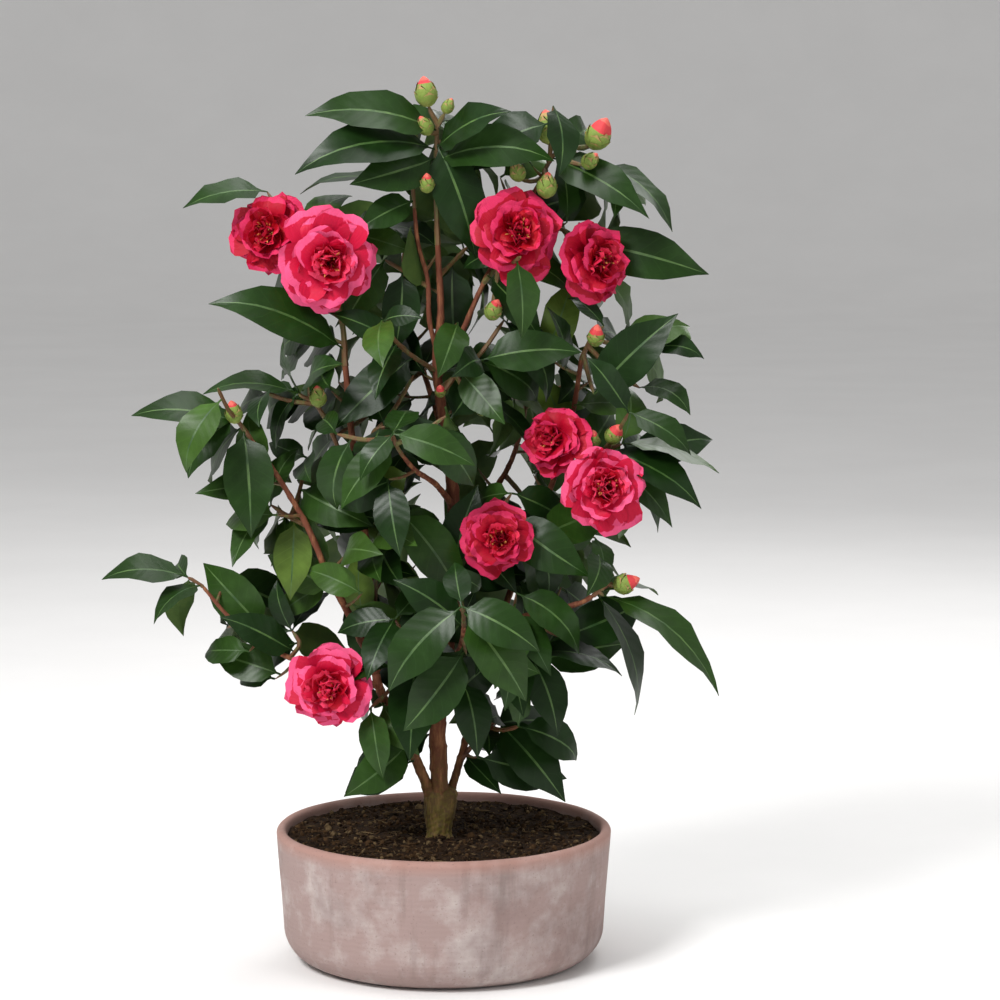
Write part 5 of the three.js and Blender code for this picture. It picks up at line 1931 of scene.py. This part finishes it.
@dataclass(frozen=True)
class Wood:
    """The trunk and its limbs, with the bark's relief."""

    trunk_sides: int = 60
    trunk_rings: int = 64
    limb_sides: int = 14
    limb_rings: float = 3
    twig_sides: int = 6
    twig_rings: float = 6
    node_every: float = 23
    flare: float = 0.16
    # Share of the top ring's radius and height over it of each ring of the dome.
    dome: tuple[Span, ...] = ((0.8, 1.6), (0.45, 3.0))
    dome_top: float = 0.8
    leader_collar: float = 0.06
    bough_collar: float = 0.45
    twig_collar: float = 0.25
    old_bark: BarkFinish = BarkFinish("old bark", (70, 56, 24), (100, 62, 36), (128, 100, 52),
                                      mossy=0.85)
    young_bark: BarkFinish = BarkFinish("young bark", (84, 60, 28), (104, 52, 30), (150, 98, 62),
                                        mossy=0.8)
    twig_bark: BarkFinish = BarkFinish("twig bark", (104, 62, 38), (104, 78, 44), (92, 104, 52),
                                       0.2, 0.9, 0.6)

    def build_trunk(self) -> Piece:
        """Oval rings through the trunk's sections. Ridged ripples along it make the bark's furrows.

        Returns:
            The piece.
        """
        share = np.linspace(0, 1, self.trunk_rings)
        height, half_width, half_depth = Curve(TRUNK_SECTIONS).point(share).T
        angle = 2 * math.pi * np.arange(self.trunk_sides) / self.trunk_sides
        lean = (height / height[-1])[:, None] * TRUNK_LEAN
        skin = np.empty((len(share), self.trunk_sides, 3))
        flare = 1 + self.flare * np.exp(-height / 5)[:, None] * np.cos(3 * angle + 0.7)[None]
        skin[..., 0] = TRUNK_FOOT[0] + lean[:, :1] + half_width[:, None] * flare * np.cos(angle)
        skin[..., 1] = TRUNK_FOOT[1] + lean[:, 1:] + half_depth[:, None] * flare * np.sin(angle)
        skin[..., 2] = TRUNK_FOOT[2] + height[:, None]
        outward = np.stack([np.cos(angle), np.sin(angle), np.zeros_like(angle)], -1)
        furrows = 1 - np.abs(ripple(skin * [1, 1, 0.35], 11, 31))
        skin += outward * (0.9 * furrows - 0.6 + 0.35 * ripple(skin, 5, 32))[..., None]
        inward = skin[-1:].mean(1, keepdims=True) - skin[-1:]
        share, rise = np.array(self.dome).T[..., None]
        dome = skin[-1:] + (1 - share)[..., None] * inward
        dome[..., 2] += rise
        rings = np.concatenate([skin, dome])
        patch = Patchwork()
        foot = skin[0].mean(0, keepdims=True)
        tip = dome[-1].mean(0, keepdims=True) + self.dome_top * UP
        patch.add(np.vstack([foot, rings.reshape(-1, 3), tip]), tube_faces(len(rings), self.trunk_sides))
        return patch.piece("trunk_bark", [self.old_bark.material()], "old_bark", ["trunk"])

    def limb_surface(self, patch: Patchwork, shoot: Shoot, seed: int, sides: int, every: float,
                     collar: float) -> None:
        """Adds a limb or twig: a tapering tube, thicker at its foot and at each old leaf scar.

        Args:
            patch: what to add it to.
            shoot: its curve and end radii.
            seed: which relief.
            sides: points a ring.
            every: length from ring to ring.
            collar: how much thicker it is at its foot, as a share.
        """
        length = shoot.curve.length()
        share = np.linspace(0, 1, max(4, int(length / every)))
        reach = share * length
        radii = mix(shoot.radii[0], shoot.radii[1], share)
        scars = np.exp(-(((reach + 7 * seed) % self.node_every - 0.5 * self.node_every) ** 2) / 5)
        radii = radii * (1 + collar * np.exp(-reach / (3 * shoot.radii[0])) + 0.11 * scars)
        radii = radii * (1 - 0.6 * np.clip(1 - (length - reach) / 5, 0, 1) ** 2)

        def bark(skin: Array) -> Array:
            """Uneven skin, a small share of the radius deep."""
            return 0.07 * radii[:, None] * ripple(skin * [1, 1, 0.4], 9, 40 + seed, 2)

        patch.tube(shoot.curve.point(share), radii, sides, swell=bark)

    def build_limbs(self, limbs: dict[str, Shoot]) -> list[Piece]:
        """Every stem and bough as a piece of its own.

        Args:
            limbs: by name.

        Returns:
            The pieces.
        """
        finish = self.young_bark.material()
        made = []
        for seed, (name, shoot) in enumerate(limbs.items()):
            patch = Patchwork()
            collar = self.leader_collar if name == "centre_stem" else self.bough_collar
            self.limb_surface(patch, shoot, seed, self.limb_sides, self.limb_rings, collar)
            made.append(patch.piece(f"{name}_bark", [finish], "young_bark", [name]))
        return made

    def build_twigs(self, growths: Sequence[Growth]) -> Piece:
        """All the stems and twigs of the masses, joined.

        Args:
            growths: what has grown.

        Returns:
            The piece.
        """
        patch = Patchwork()
        for seed, growth in enumerate(growths):
            for shoot in growth.shoots:
                self.limb_surface(patch, shoot, seed, self.twig_sides, self.twig_rings,
                                  self.twig_collar)
        return patch.piece("twigs", [self.twig_bark.material()], "young_bark")


# Leaves


CROWN_FROM, MIDDLE_FROM = 600, 400


class Region(Enum):
    """Which part of the crown a mass of leaves belongs to."""

    CROWN = "upper_leaves"
    MIDDLE = "middle_leaves"
    SKIRT = "lower_leaves"
    BACK = "rear_leaves"

    @staticmethod
    def around(place: Triple) -> "Region":
        """The region that a place is in, by its depth and its height.

        Args:
            place: three numbers.

        Returns:
            The region.
        """
        if place[1] > LEAF.back_from:
            return Region.BACK
        if place[2] > CROWN_FROM:
            return Region.CROWN
        return Region.MIDDLE if place[2] > MIDDLE_FROM else Region.SKIRT


@dataclass(frozen=True)
class Foliage:
    """The leaves: thin closed blades, glossy and dark above, olive beneath, with a pale midrib."""

    stations: tuple[float, ...] = (0, 0.07, 0.115, 0.19, 0.3, 0.42, 0.55, 0.68, 0.8, 0.91, 1)
    columns: tuple[float, ...] = (-1, -0.05, 0.05, 1)
    stalk: float = 1.15
    stalk_end: float = 0.07
    thickness: float = 0.75
    keel: float = 1.5
    camber: float = 0.2
    wave: float = 0.12
    drip: float = 0.38
    # The lowest and highest phase and number of its waves, swing, fold, twist and droop.
    varied: tuple[Span, ...] = (
        (0, 2 * math.pi), (1.2, 2.6), (-3.5, 3.5), (0.5, 1.6), (-0.42, 0.42), (-0.01, 0.07))
    tints: tuple[BladeFinish, ...] = (
        BladeFinish("deep green leaf", (21, 44, 12)),
        BladeFinish("dark green leaf", (29, 54, 15)),
        BladeFinish("green leaf", (39, 66, 20)),
        BladeFinish("fresh green leaf", (54, 82, 28)),
        BladeFinish("young green leaf", (78, 100, 38)),
    )
    shares: tuple[float, ...] = (0.28, 0.32, 0.24, 0.12, 0.04)
    # Leaves rooted within this many millimetres of the axis are painted two tints darker, as shade inside
    # the crown.
    painted_shade_reach: float = 75
    spray_seed: int = 5
    leaf_seed: int = 900
    odd_leaves: float = 0.25
    midrib: PlainFinish = PlainFinish("leaf midrib", (78, 108, 50), (38, 70, 28), 60, 0.45)
    under: PlainFinish = PlainFinish("leaf underside", (76, 98, 46), (58, 82, 38), 40, 0.6, 0.0004,
                                     260, 0.2)

    def build(self, growths: Sequence[Growth], fine: Sequence[Growth]) -> list[Piece]:
        """One piece a region, which stands for the masses of that region.

        Args:
            growths: of the masses.
            fine: the finer twigs.

        Returns:
            The pieces.
        """
        finishes = [finish.material() for finish in (*self.tints, self.midrib, self.under)]
        made = []
        for region in Region:
            masses = [growth for growth in growths if Region.around(growth.mass.space.centre) is region]
            leaves = [leaf for growth in masses for leaf in growth.leaves]
            leaves += [leaf for growth in fine for leaf in growth.leaves
                       if Region.around(leaf.root) is region]
            patch = Patchwork()
            self._add_blades(patch, leaves)
            made.append(patch.piece(region.value, finishes, "foliage", [g.mass.name for g in masses]))
        return made

    def _add_blades(self, patch: Patchwork, leaves: Sequence[Leaf]) -> None:
        """Adds many leaves at once. A point is set along the leaf's arc by its station and across it by
        its column. It rises with the fold, falls with the camber's square, waves towards the margin, and
        twists and droops towards the tip. The under side lies a thickness below, more at the midrib, and
        shares the outline.

        Args:
            patch: what to add them to.
            leaves: the leaves.
        """
        t = np.array(self.stations)[None, :, None]
        s = np.array(self.columns)[None, None, :]
        rng = np.random.default_rng([int(leaf.spray) for leaf in leaves])
        number = len(leaves)
        hinge, along, face, across, radius, bend, length = (
            np.array([getattr(leaf, name) for leaf in leaves])[:, None, None]
            for name in ("hinge", "along", "face", "across", "radius", "bend", "length"))
        phase, waves, swing, fold, twist, droop = (
            rng.uniform(low, high, number)[:, None, None] for low, high in self.varied)
        grown = np.clip((t - self.stalk_end) / 0.1, 0, 1)
        grown = grown * grown * (3 - 2 * grown)
        drawn = 1 - self.drip * np.clip((t - 0.62) / 0.3, 0, 1) ** 1.5
        half = np.maximum(leaf_half_width(length, t) * grown * drawn, np.where(t < 0.3, self.stalk, 0.2))
        side = half * s + swing * np.sin(math.pi * t) * grown
        lift = np.abs(half * s) * math.tan(LEAF.fold) * fold - self.camber * half * s**2 * fold
        swell = np.sin(2 * math.pi * waves * t + phase + 1.3 * (s > 0))
        lift = lift + self.wave * half * s**2 * swell * grown
        lift = lift + side * np.tan(twist * t**1.5) - droop * length * np.clip((t - 0.6) / 0.4, 0, 1) ** 2
        lift = lift - 0.5 * (np.abs(s) < 0.1) * grown
        depth = np.where(np.abs(s) < 0.1, self.keel, self.thickness) * (1 - 0.5 * t)
        depth = np.broadcast_to(np.where(t <= self.stalk_end, 2 * self.stalk, depth), side.shape)

        def placed(height: Array) -> Array:
            """Points at a height above the arc."""
            angle, out = bend * t, radius + height
            ahead, above = out * np.sin(angle), out * np.cos(angle)
            return hinge + ahead[..., None] * along + above[..., None] * face + side[..., None] * across

        stalk_rise = np.where(t <= self.stalk_end, 0.7 * self.stalk * (np.abs(s) < 0.1), 0)
        top = placed(lift + stalk_rise)
        under = placed(lift + stalk_rise - depth)
        strips = shell_quads(len(self.stations), len(self.columns))[1]
        middle = (len(self.columns) - 1) // 2
        tint = self._deal(leaves)[:, None]
        midrib = len(self.tints)
        slots = np.where(strips[None] < 0, midrib + 1, np.where(strips[None] == middle, midrib, tint))
        patch.shells(top, under, slots, t, s)

    def _deal(self, leaves: Sequence[Leaf]) -> Array:
        """A tint for each leaf: one for its whole spray, and now and then the next for a single leaf. A
        leaf rooted near the axis takes a tint two steps darker, as painted shade inside the crown.

        Args:
            leaves: the leaves.

        Returns:
            The tint's number for each.
        """
        dealt = []
        for number, leaf in enumerate(leaves):
            spray = np.random.default_rng(leaf.spray + self.spray_seed)
            own = np.random.default_rng(number + self.leaf_seed)
            tint = spray.choice(len(self.tints), p=self.shares) + (own.uniform() < self.odd_leaves)
            # Painted shade: a leaf rooted near the axis, inside the crown, takes a tint two steps darker.
            inside = np.linalg.norm(leaf.root[:2]) < self.painted_shade_reach
            dealt.append(max(tint - 2 * inside, 0) % len(self.tints))
        return np.array(dealt)


# Blooms and buds


BRIGHTER = 2


def ways_round(facing: Array, angle: Array) -> Array:
    """Unit ways square to a flower's axis, at angles round it."""
    side = square_to(UP if abs(facing[2]) < 0.95 else SIDEWAYS, facing)
    return np.cos(angle)[..., None] * side + np.sin(angle)[..., None] * np.cross(facing, side)


def blade_shares(rows: int, columns: int) -> tuple[Array, Array]:
    """Shares along a blade from 0 to 1 and across it from -1 to 1, for a ring of blades."""
    return np.linspace(0, 1, rows)[None, :, None], np.linspace(-1, 1, columns)[None, None, :]


class Slot(Enum):
    """Which finish a part of a bloom has. A bright bloom's petals take the one BRIGHTER further on."""

    OUTER = 0
    INNER = 1
    SEPAL = 4
    FILAMENT = 5
    ANTHER = 6


@dataclass(frozen=True)
class Whorl:
    """A ring of petals. Lengths are shares of the bloom's radius, angles are degrees from its plane.

    start and end are the slopes at the petal's foot and tip, cup is how far it rolls across, ruffle how
    much its rim waves, and rise where its foot sits along the axis.
    """

    count: int
    length: float
    width: float
    start: float
    end: float
    rise: float
    cup: float
    ruffle: float
    slot: Slot


@dataclass(frozen=True)
class Blooms:
    """The flowers: whorls of ruffled petals round a tuft of stamens, with green sepals behind."""

    rows: int = 7
    columns: int = 7
    thickness: float = 0.6
    whorls: tuple[Whorl, ...] = (
        Whorl(6, 0.5, 0.5, 2, 62, -0.46, 0.5, 0.0, Slot.SEPAL),
        Whorl(6, 1.05, 1.24, 30, -34, -0.36, 0.35, 0.06, Slot.OUTER),
        Whorl(6, 0.96, 1.1, 50, -22, -0.32, 0.45, 0.09, Slot.OUTER),
        Whorl(5, 0.84, 0.94, 68, -6, -0.28, 0.7, 0.12, Slot.OUTER),
        Whorl(5, 0.7, 0.72, 82, 10, -0.22, 1.0, 0.16, Slot.INNER),
        Whorl(6, 0.58, 0.54, 94, 24, -0.18, 1.3, 0.2, Slot.INNER),
        Whorl(5, 0.5, 0.42, 100, 40, -0.14, 1.6, 0.24, Slot.INNER),
    )
    stamens: int = 16
    anther_sides: int = 5
    # Share of the length and radius of each ring of a stamen, the last of them the anther's.
    stamen_rings: tuple[Span, ...] = (
        (0, 0.5), (0.4, 0.42), (0.8, 0.38), (0.86, 0.8), (0.93, 0.85), (1.0, 0.35))
    # The lowest and highest turn, length, slope, roll, phase, skew and number of waves of a petal.
    varied: tuple[Span, ...] = (
        (-0.26, 0.26), (0.8, 1.08), (-14, 14), (0.6, 1.4), (0, 6.28), (-0.2, 0.2), (1.4, 2.4))
    seed: int = 200
    finishes: tuple[Union[PetalFinish, PlainFinish], ...] = (
        PetalFinish("deep outer petal", (112, 0, 18), (174, 2, 38), (212, 44, 92)),
        PetalFinish("deep inner petal", (98, 0, 10), (164, 2, 24), (208, 36, 70)),
        PetalFinish("bright outer petal", (124, 2, 26), (198, 12, 58), (236, 84, 132)),
        PetalFinish("bright inner petal", (110, 0, 14), (188, 8, 40), (232, 62, 100)),
        PetalFinish("sepal", (110, 118, 60), (122, 138, 66), (150, 120, 80)),
        PlainFinish("filament", (214, 120, 92), (226, 160, 104), 200, 0.6),
        PlainFinish("anther", (214, 158, 84), (190, 124, 56), 400, 0.8),
    )

    def build(self, flowers: Sequence[Flower]) -> list[Piece]:
        """All the petals joined, and all the stamens joined.

        Args:
            flowers: the blooms.

        Returns:
            The pieces.
        """
        petals, stamens = Patchwork(), Patchwork()
        for number, flower in enumerate(flowers):
            rng = np.random.default_rng(self.seed + number)
            for order, whorl in enumerate(self.whorls):
                self._add_whorl(petals, flower, whorl, order, rng)
            self._add_stamens(stamens, flower, rng)
        materials = [finish.material() for finish in self.finishes]
        return [patch.piece(name, materials, "foliage")
                for name, patch in (("petals", petals), ("stamens", stamens))]

    def _add_whorl(self, patch: Patchwork, flower: Flower, whorl: Whorl, order: int,
                   rng: np.random.Generator) -> None:
        """Adds a ring of petals. Along a petal the slope runs evenly from start to end, so its middle
        line is an arc. Across, it rolls by the cup's angle. Its rim is notched, rounded and ruffled.

        Args:
            patch: what to add them to.
            flower: the bloom.
            whorl: the ring.
            order: its number, which turns it by half a petal.
            rng: seeded numbers.
        """
        radius = 0.5 * flower.width
        count = whorl.count
        off, stretch, tilt, rolled, phase, skew, waves = (
            rng.uniform(low, high, count)[:, None, None] for low, high in self.varied)
        u, v = blade_shares(self.rows, self.columns)
        turn = (2 * math.pi * (np.arange(count) + 0.5 * (order % 2)) / count)[:, None, None]
        turn = turn + off + order
        start = np.radians(whorl.start + tilt)
        change = np.radians(whorl.end - whorl.start)
        reach = u * (1 - 0.14 * v**2 * u - 0.07 * np.exp(-((v / 0.2) ** 2)) * u**3)
        length = whorl.length * radius * stretch
        slope = start + change * reach
        out = 0.04 * radius + length * (np.sin(slope) - np.sin(start)) / change
        high = whorl.rise * radius - length * (np.cos(slope) - np.cos(start)) / change
        swell = np.sin(np.minimum(1, 1.15 * u) * math.pi / 2) ** 1.2
        half = 0.5 * whorl.width * radius * (0.26 + 0.74 * swell) * (1 - 0.22 * u**5)
        roll = whorl.cup * rolled
        aside = half / roll * np.sin(roll * v) + skew * half * u
        lift = half / roll * (1 - np.cos(roll * v))
        lift = lift + whorl.ruffle * radius * u**2 * (
            np.sin(waves * math.pi * v + phase) * (0.35 + np.abs(v)) * 0.8 + 0.5 * np.sin(5 * u + phase))
        outward = ways_round(flower.facing, turn)
        tangent = np.cross(outward, flower.facing)
        normal = -np.sin(slope)[..., None] * outward + np.cos(slope)[..., None] * flower.facing
        top = (flower.middle + out[..., None] * outward + high[..., None] * flower.facing
               + aside[..., None] * tangent + lift[..., None] * normal)
        slot = whorl.slot.value + (BRIGHTER if flower.bright and whorl.slot is not Slot.SEPAL else 0)
        patch.shells(top, top - self.thickness * normal, slot, u, 0.5 + 0.5 * v)

    def _add_stamens(self, patch: Patchwork, flower: Flower, rng: np.random.Generator) -> None:
        """Adds a tuft of stamens: thin tubes that lean out from the axis and end in a swollen anther.

        Args:
            patch: what to add them to.
            flower: the bloom.
            rng: seeded numbers.
        """
        radius = 0.5 * flower.width
        turn = rng.uniform(0, 2 * math.pi, self.stamens)
        lean = 0.55 * np.sqrt(rng.uniform(0, 1, self.stamens))
        height = radius * rng.uniform(0.42, 0.58, self.stamens)
        share, thick = np.array(self.stamen_rings).T
        outward = ways_round(flower.facing, turn)
        foot = flower.middle - 0.2 * radius * flower.facing
        away = lean[:, None] * height[:, None] * share**1.3
        path = (foot + away[..., None] * outward[:, None]
                + (height[:, None] * share)[..., None] * flower.facing)
        sides = self.anther_sides
        ring = ways_round(flower.facing, 2 * math.pi * np.arange(sides) / sides)
        skin = path[:, :, None] + thick[None, :, None, None] * ring
        points = np.concatenate([path[:, :1], skin.reshape(self.stamens, -1, 3), path[:, -1:]], axis=1)
        faces = tube_faces(len(share), sides)
        row = np.concatenate([np.repeat(np.arange(len(share) - 1), sides), np.zeros(sides, int),
                              np.full(sides, len(share))])
        patch.add_many(points, faces, np.where(row >= 2, Slot.ANTHER.value, Slot.FILAMENT.value))


@dataclass(frozen=True)
class Buds:
    """Flower buds: an egg of furled petals wrapped in overlapping scales."""

    rings: int = 14
    sides: int = 16
    scales: int = 10
    girth: float = 0.35
    thickness: float = 0.45
    rows: int = 5
    columns: int = 5
    furls: int = 4
    seed: int = 400
    scale_finish: PetalFinish = PetalFinish("bud scale", (150, 158, 84), (126, 146, 68), (176, 148, 96))
    tip_finish: PetalFinish = PetalFinish("furled petals", (150, 26, 46), (206, 66, 70), (226, 104, 92))

    def _girth(self, share: Array) -> Array:
        """The egg's half thickness at fractions of its length: a sine, fullest below the middle."""
        return self.girth * np.sin(math.pi * np.clip(share, 0.0, 1.0) ** 0.8) ** 0.7

    def build(self, flowers: Sequence[Flower]) -> Piece:
        """All the buds, joined.

        Args:
            flowers: the buds.

        Returns:
            The piece.
        """
        patch = Patchwork()
        for number, flower in enumerate(flowers):
            self._add_core(patch, flower)
            self._add_scales(patch, flower, np.random.default_rng(self.seed + number))
        return patch.piece("buds", [self.scale_finish.material(), self.tip_finish.material()], "foliage")

    def _add_core(self, patch: Patchwork, flower: Flower) -> None:
        """Adds the egg, whose skin is twisted in furls towards the tip.

        Args:
            patch: what to add it to.
            flower: the bud.
        """
        share = np.linspace(0.02, 0.985, self.rings)
        angle = 2 * math.pi * np.arange(self.sides) / self.sides
        furl = 1 + 0.14 * share[:, None] ** 2 * np.cos(self.furls * angle[None] + 5 * share[:, None])
        girth = flower.width * self._girth(share)[:, None] * furl * 0.94
        path = flower.middle + ((share - 0.5) * flower.width)[:, None] * flower.facing
        skin = path[:, None] + girth[..., None] * ways_round(flower.facing, angle)
        tip = path[-1:] + 0.01 * flower.width * flower.facing
        points = np.vstack([path[:1], skin.reshape(-1, 3), tip])
        grid = np.stack(np.broadcast_arrays(share[:, None], angle[None] / 6.3), -1)
        maps = np.vstack([[[0, 0]], grid.reshape(-1, 2), [[1, 0]]])
        faces = tube_faces(self.rings, self.sides)
        shown = np.repeat(share[:-1] > 0.9 - flower.stage.value, self.sides)
        slots = np.concatenate([shown, np.zeros(self.sides, bool), np.ones(self.sides, bool)]).astype(int)
        patch.add(points, faces, slots, maps)

    def _add_scales(self, patch: Patchwork, flower: Flower, rng: np.random.Generator) -> None:
        """Adds the scales: patches that follow the egg, each turned on by the golden angle and reaching
        further up than the one outside it.

        Args:
            patch: what to add them to.
            flower: the bud.
            rng: seeded numbers.
        """
        count = self.scales
        order = np.arange(count)[:, None, None]
        extent = mix(0.34, 1.0, (order / (count - 1)) ** 0.8) * (1 - flower.stage.value)
        lift = 0.012 * flower.width + 0.5 * (count - 1 - order) / count
        u, v = blade_shares(self.rows, self.columns)
        spread = np.radians(74) * (1 - 0.86 * u**2.2)
        angle = order * GOLDEN_TURN + rng.uniform(-0.2, 0.2, (count, 1, 1)) + spread * v
        share = 0.015 + extent * u * (1 - 0.1 * v**2)
        girth = flower.width * self._girth(share) + lift + 0.02 * flower.width * u**5
        ring = ways_round(flower.facing, angle)

        def placed(out: Array) -> Array:
            """Points at a distance from the bud's axis."""
            along = ((share - 0.5) * flower.width)[..., None] * flower.facing
            return flower.middle + along + out[..., None] * ring

        patch.shells(placed(girth), placed(girth - self.thickness), 0, u, 0.5 + 0.5 * v)


# The studio


@dataclass(frozen=True)
class Studio:
    """A pale floor, soft light and the camera."""

    camera_place: tuple[float, float, float] = (0.057, -3.437, 0.8935)
    tilt: float = 7.1
    lens: float = 124.7
    sensor: float = 36
    lit: Triple = (0, 0, 0.5)
    floor_reach: float = 9
    sweep: float = 3.5
    sweep_rings: int = 24
    floor_sides: int = 128
    world_grey: float = 0.92
    world_strength: float = 0.5
    # Name, place, size and power of each light.
    lights: tuple[tuple[str, Triple, float, float], ...] = (
        ("key", (-1.5, -1.9, 2.6), 0.9, 92), ("fill", (2.4, -1.8, 1.5), 2.2, 12),
        ("top", (0.2, 0.3, 3.2), 1.6, 46), ("back", (0.9, 2.4, 2.0), 1.2, 16))

    def build(self) -> None:
        """Sets up the whole studio."""
        self._floor()
        for name, place, size, power in self.lights:
            self._light(name, place, size, power)
        world = bpy.data.worlds.new("studio")
        world.use_nodes = True
        background = world.node_tree.nodes["Background"].inputs
        background["Color"].default_value = (*[self.world_grey] * 3, 1)
        background["Strength"].default_value = self.world_strength
        bpy.context.scene.world = world
        bpy.context.scene.view_settings.view_transform = "Standard"
        self._camera()

    def _floor(self) -> None:
        """A wide round floor at the bowl's underside, swept up all round in a quarter circle."""
        turn = np.linspace(-math.pi / 2, 0, self.sweep_rings)
        radii = np.append(1.0, self.floor_reach + self.sweep * np.cos(turn))
        heights = np.append(0.0, self.sweep * (1 + np.sin(turn)))
        skin = turned(radii, heights, self.floor_sides)
        row = self.floor_sides
        here = np.arange(row)
        following = (here + 1) % row
        faces = [tuple(range(row))]
        for start in range(0, row * (len(radii) - 1), row):
            outer = start + row
            ring = [start + here, outer + here, outer + following, start + following]
            faces += np.stack(ring, -1).tolist()
        mesh = bpy.data.meshes.new("floor")
        mesh.from_pydata(skin.reshape(-1, 3).tolist(), [], faces)
        mesh.materials.append(PlainFinish("floor", (241, 240, 239), (244, 243, 242), 3, 0.85).material())
        mesh.shade_smooth()
        put("floor", mesh)

    def _light(self, name: str, place: Triple, size: float, power: float) -> None:
        """A square soft light turned to the crown.

        Args:
            name: of the light.
            place: where it stands.
            size: of its square.
            power: in watts.
        """
        light = bpy.data.lights.new(name, "AREA")
        light.size = size
        light.energy = power
        holder = put(name, light)
        holder.location = place
        way = np.array(self.lit, float) - np.array(place, float)
        flat = math.hypot(way[0], way[1])
        holder.rotation_euler = (math.atan2(flat, -way[2]), 0, math.atan2(-way[0], way[1]))

    def _camera(self) -> None:
        """The camera at the viewing angle, level from side to side."""
        camera = bpy.data.cameras.new("camera")
        camera.lens = self.lens
        camera.sensor_width = self.sensor
        holder = put("camera", camera)
        holder.location = self.camera_place
        holder.rotation_euler = (math.radians(90 - self.tilt), 0, 0)
        bpy.context.scene.camera = holder


def main() -> None:
    """Grows the plant, then builds and dresses each part of it in turn."""
    logging.basicConfig(level=logging.INFO, format="%(message)s")
    Studio().build()
    crown = Crown()
    crown.grow()
    Bowl().build()
    Soil().build()
    wood = Wood()
    wood.build_trunk()
    wood.build_limbs(crown.limbs)
    wood.build_twigs([*crown.growths, *crown.fine])
    Foliage().build(crown.growths, crown.fine)
    Blooms().build([flower for flower in crown.flowers if flower.stage is None])
    Buds().build([flower for flower in crown.flowers if flower.stage is not None])


if __name__ == "__main__":
    main()
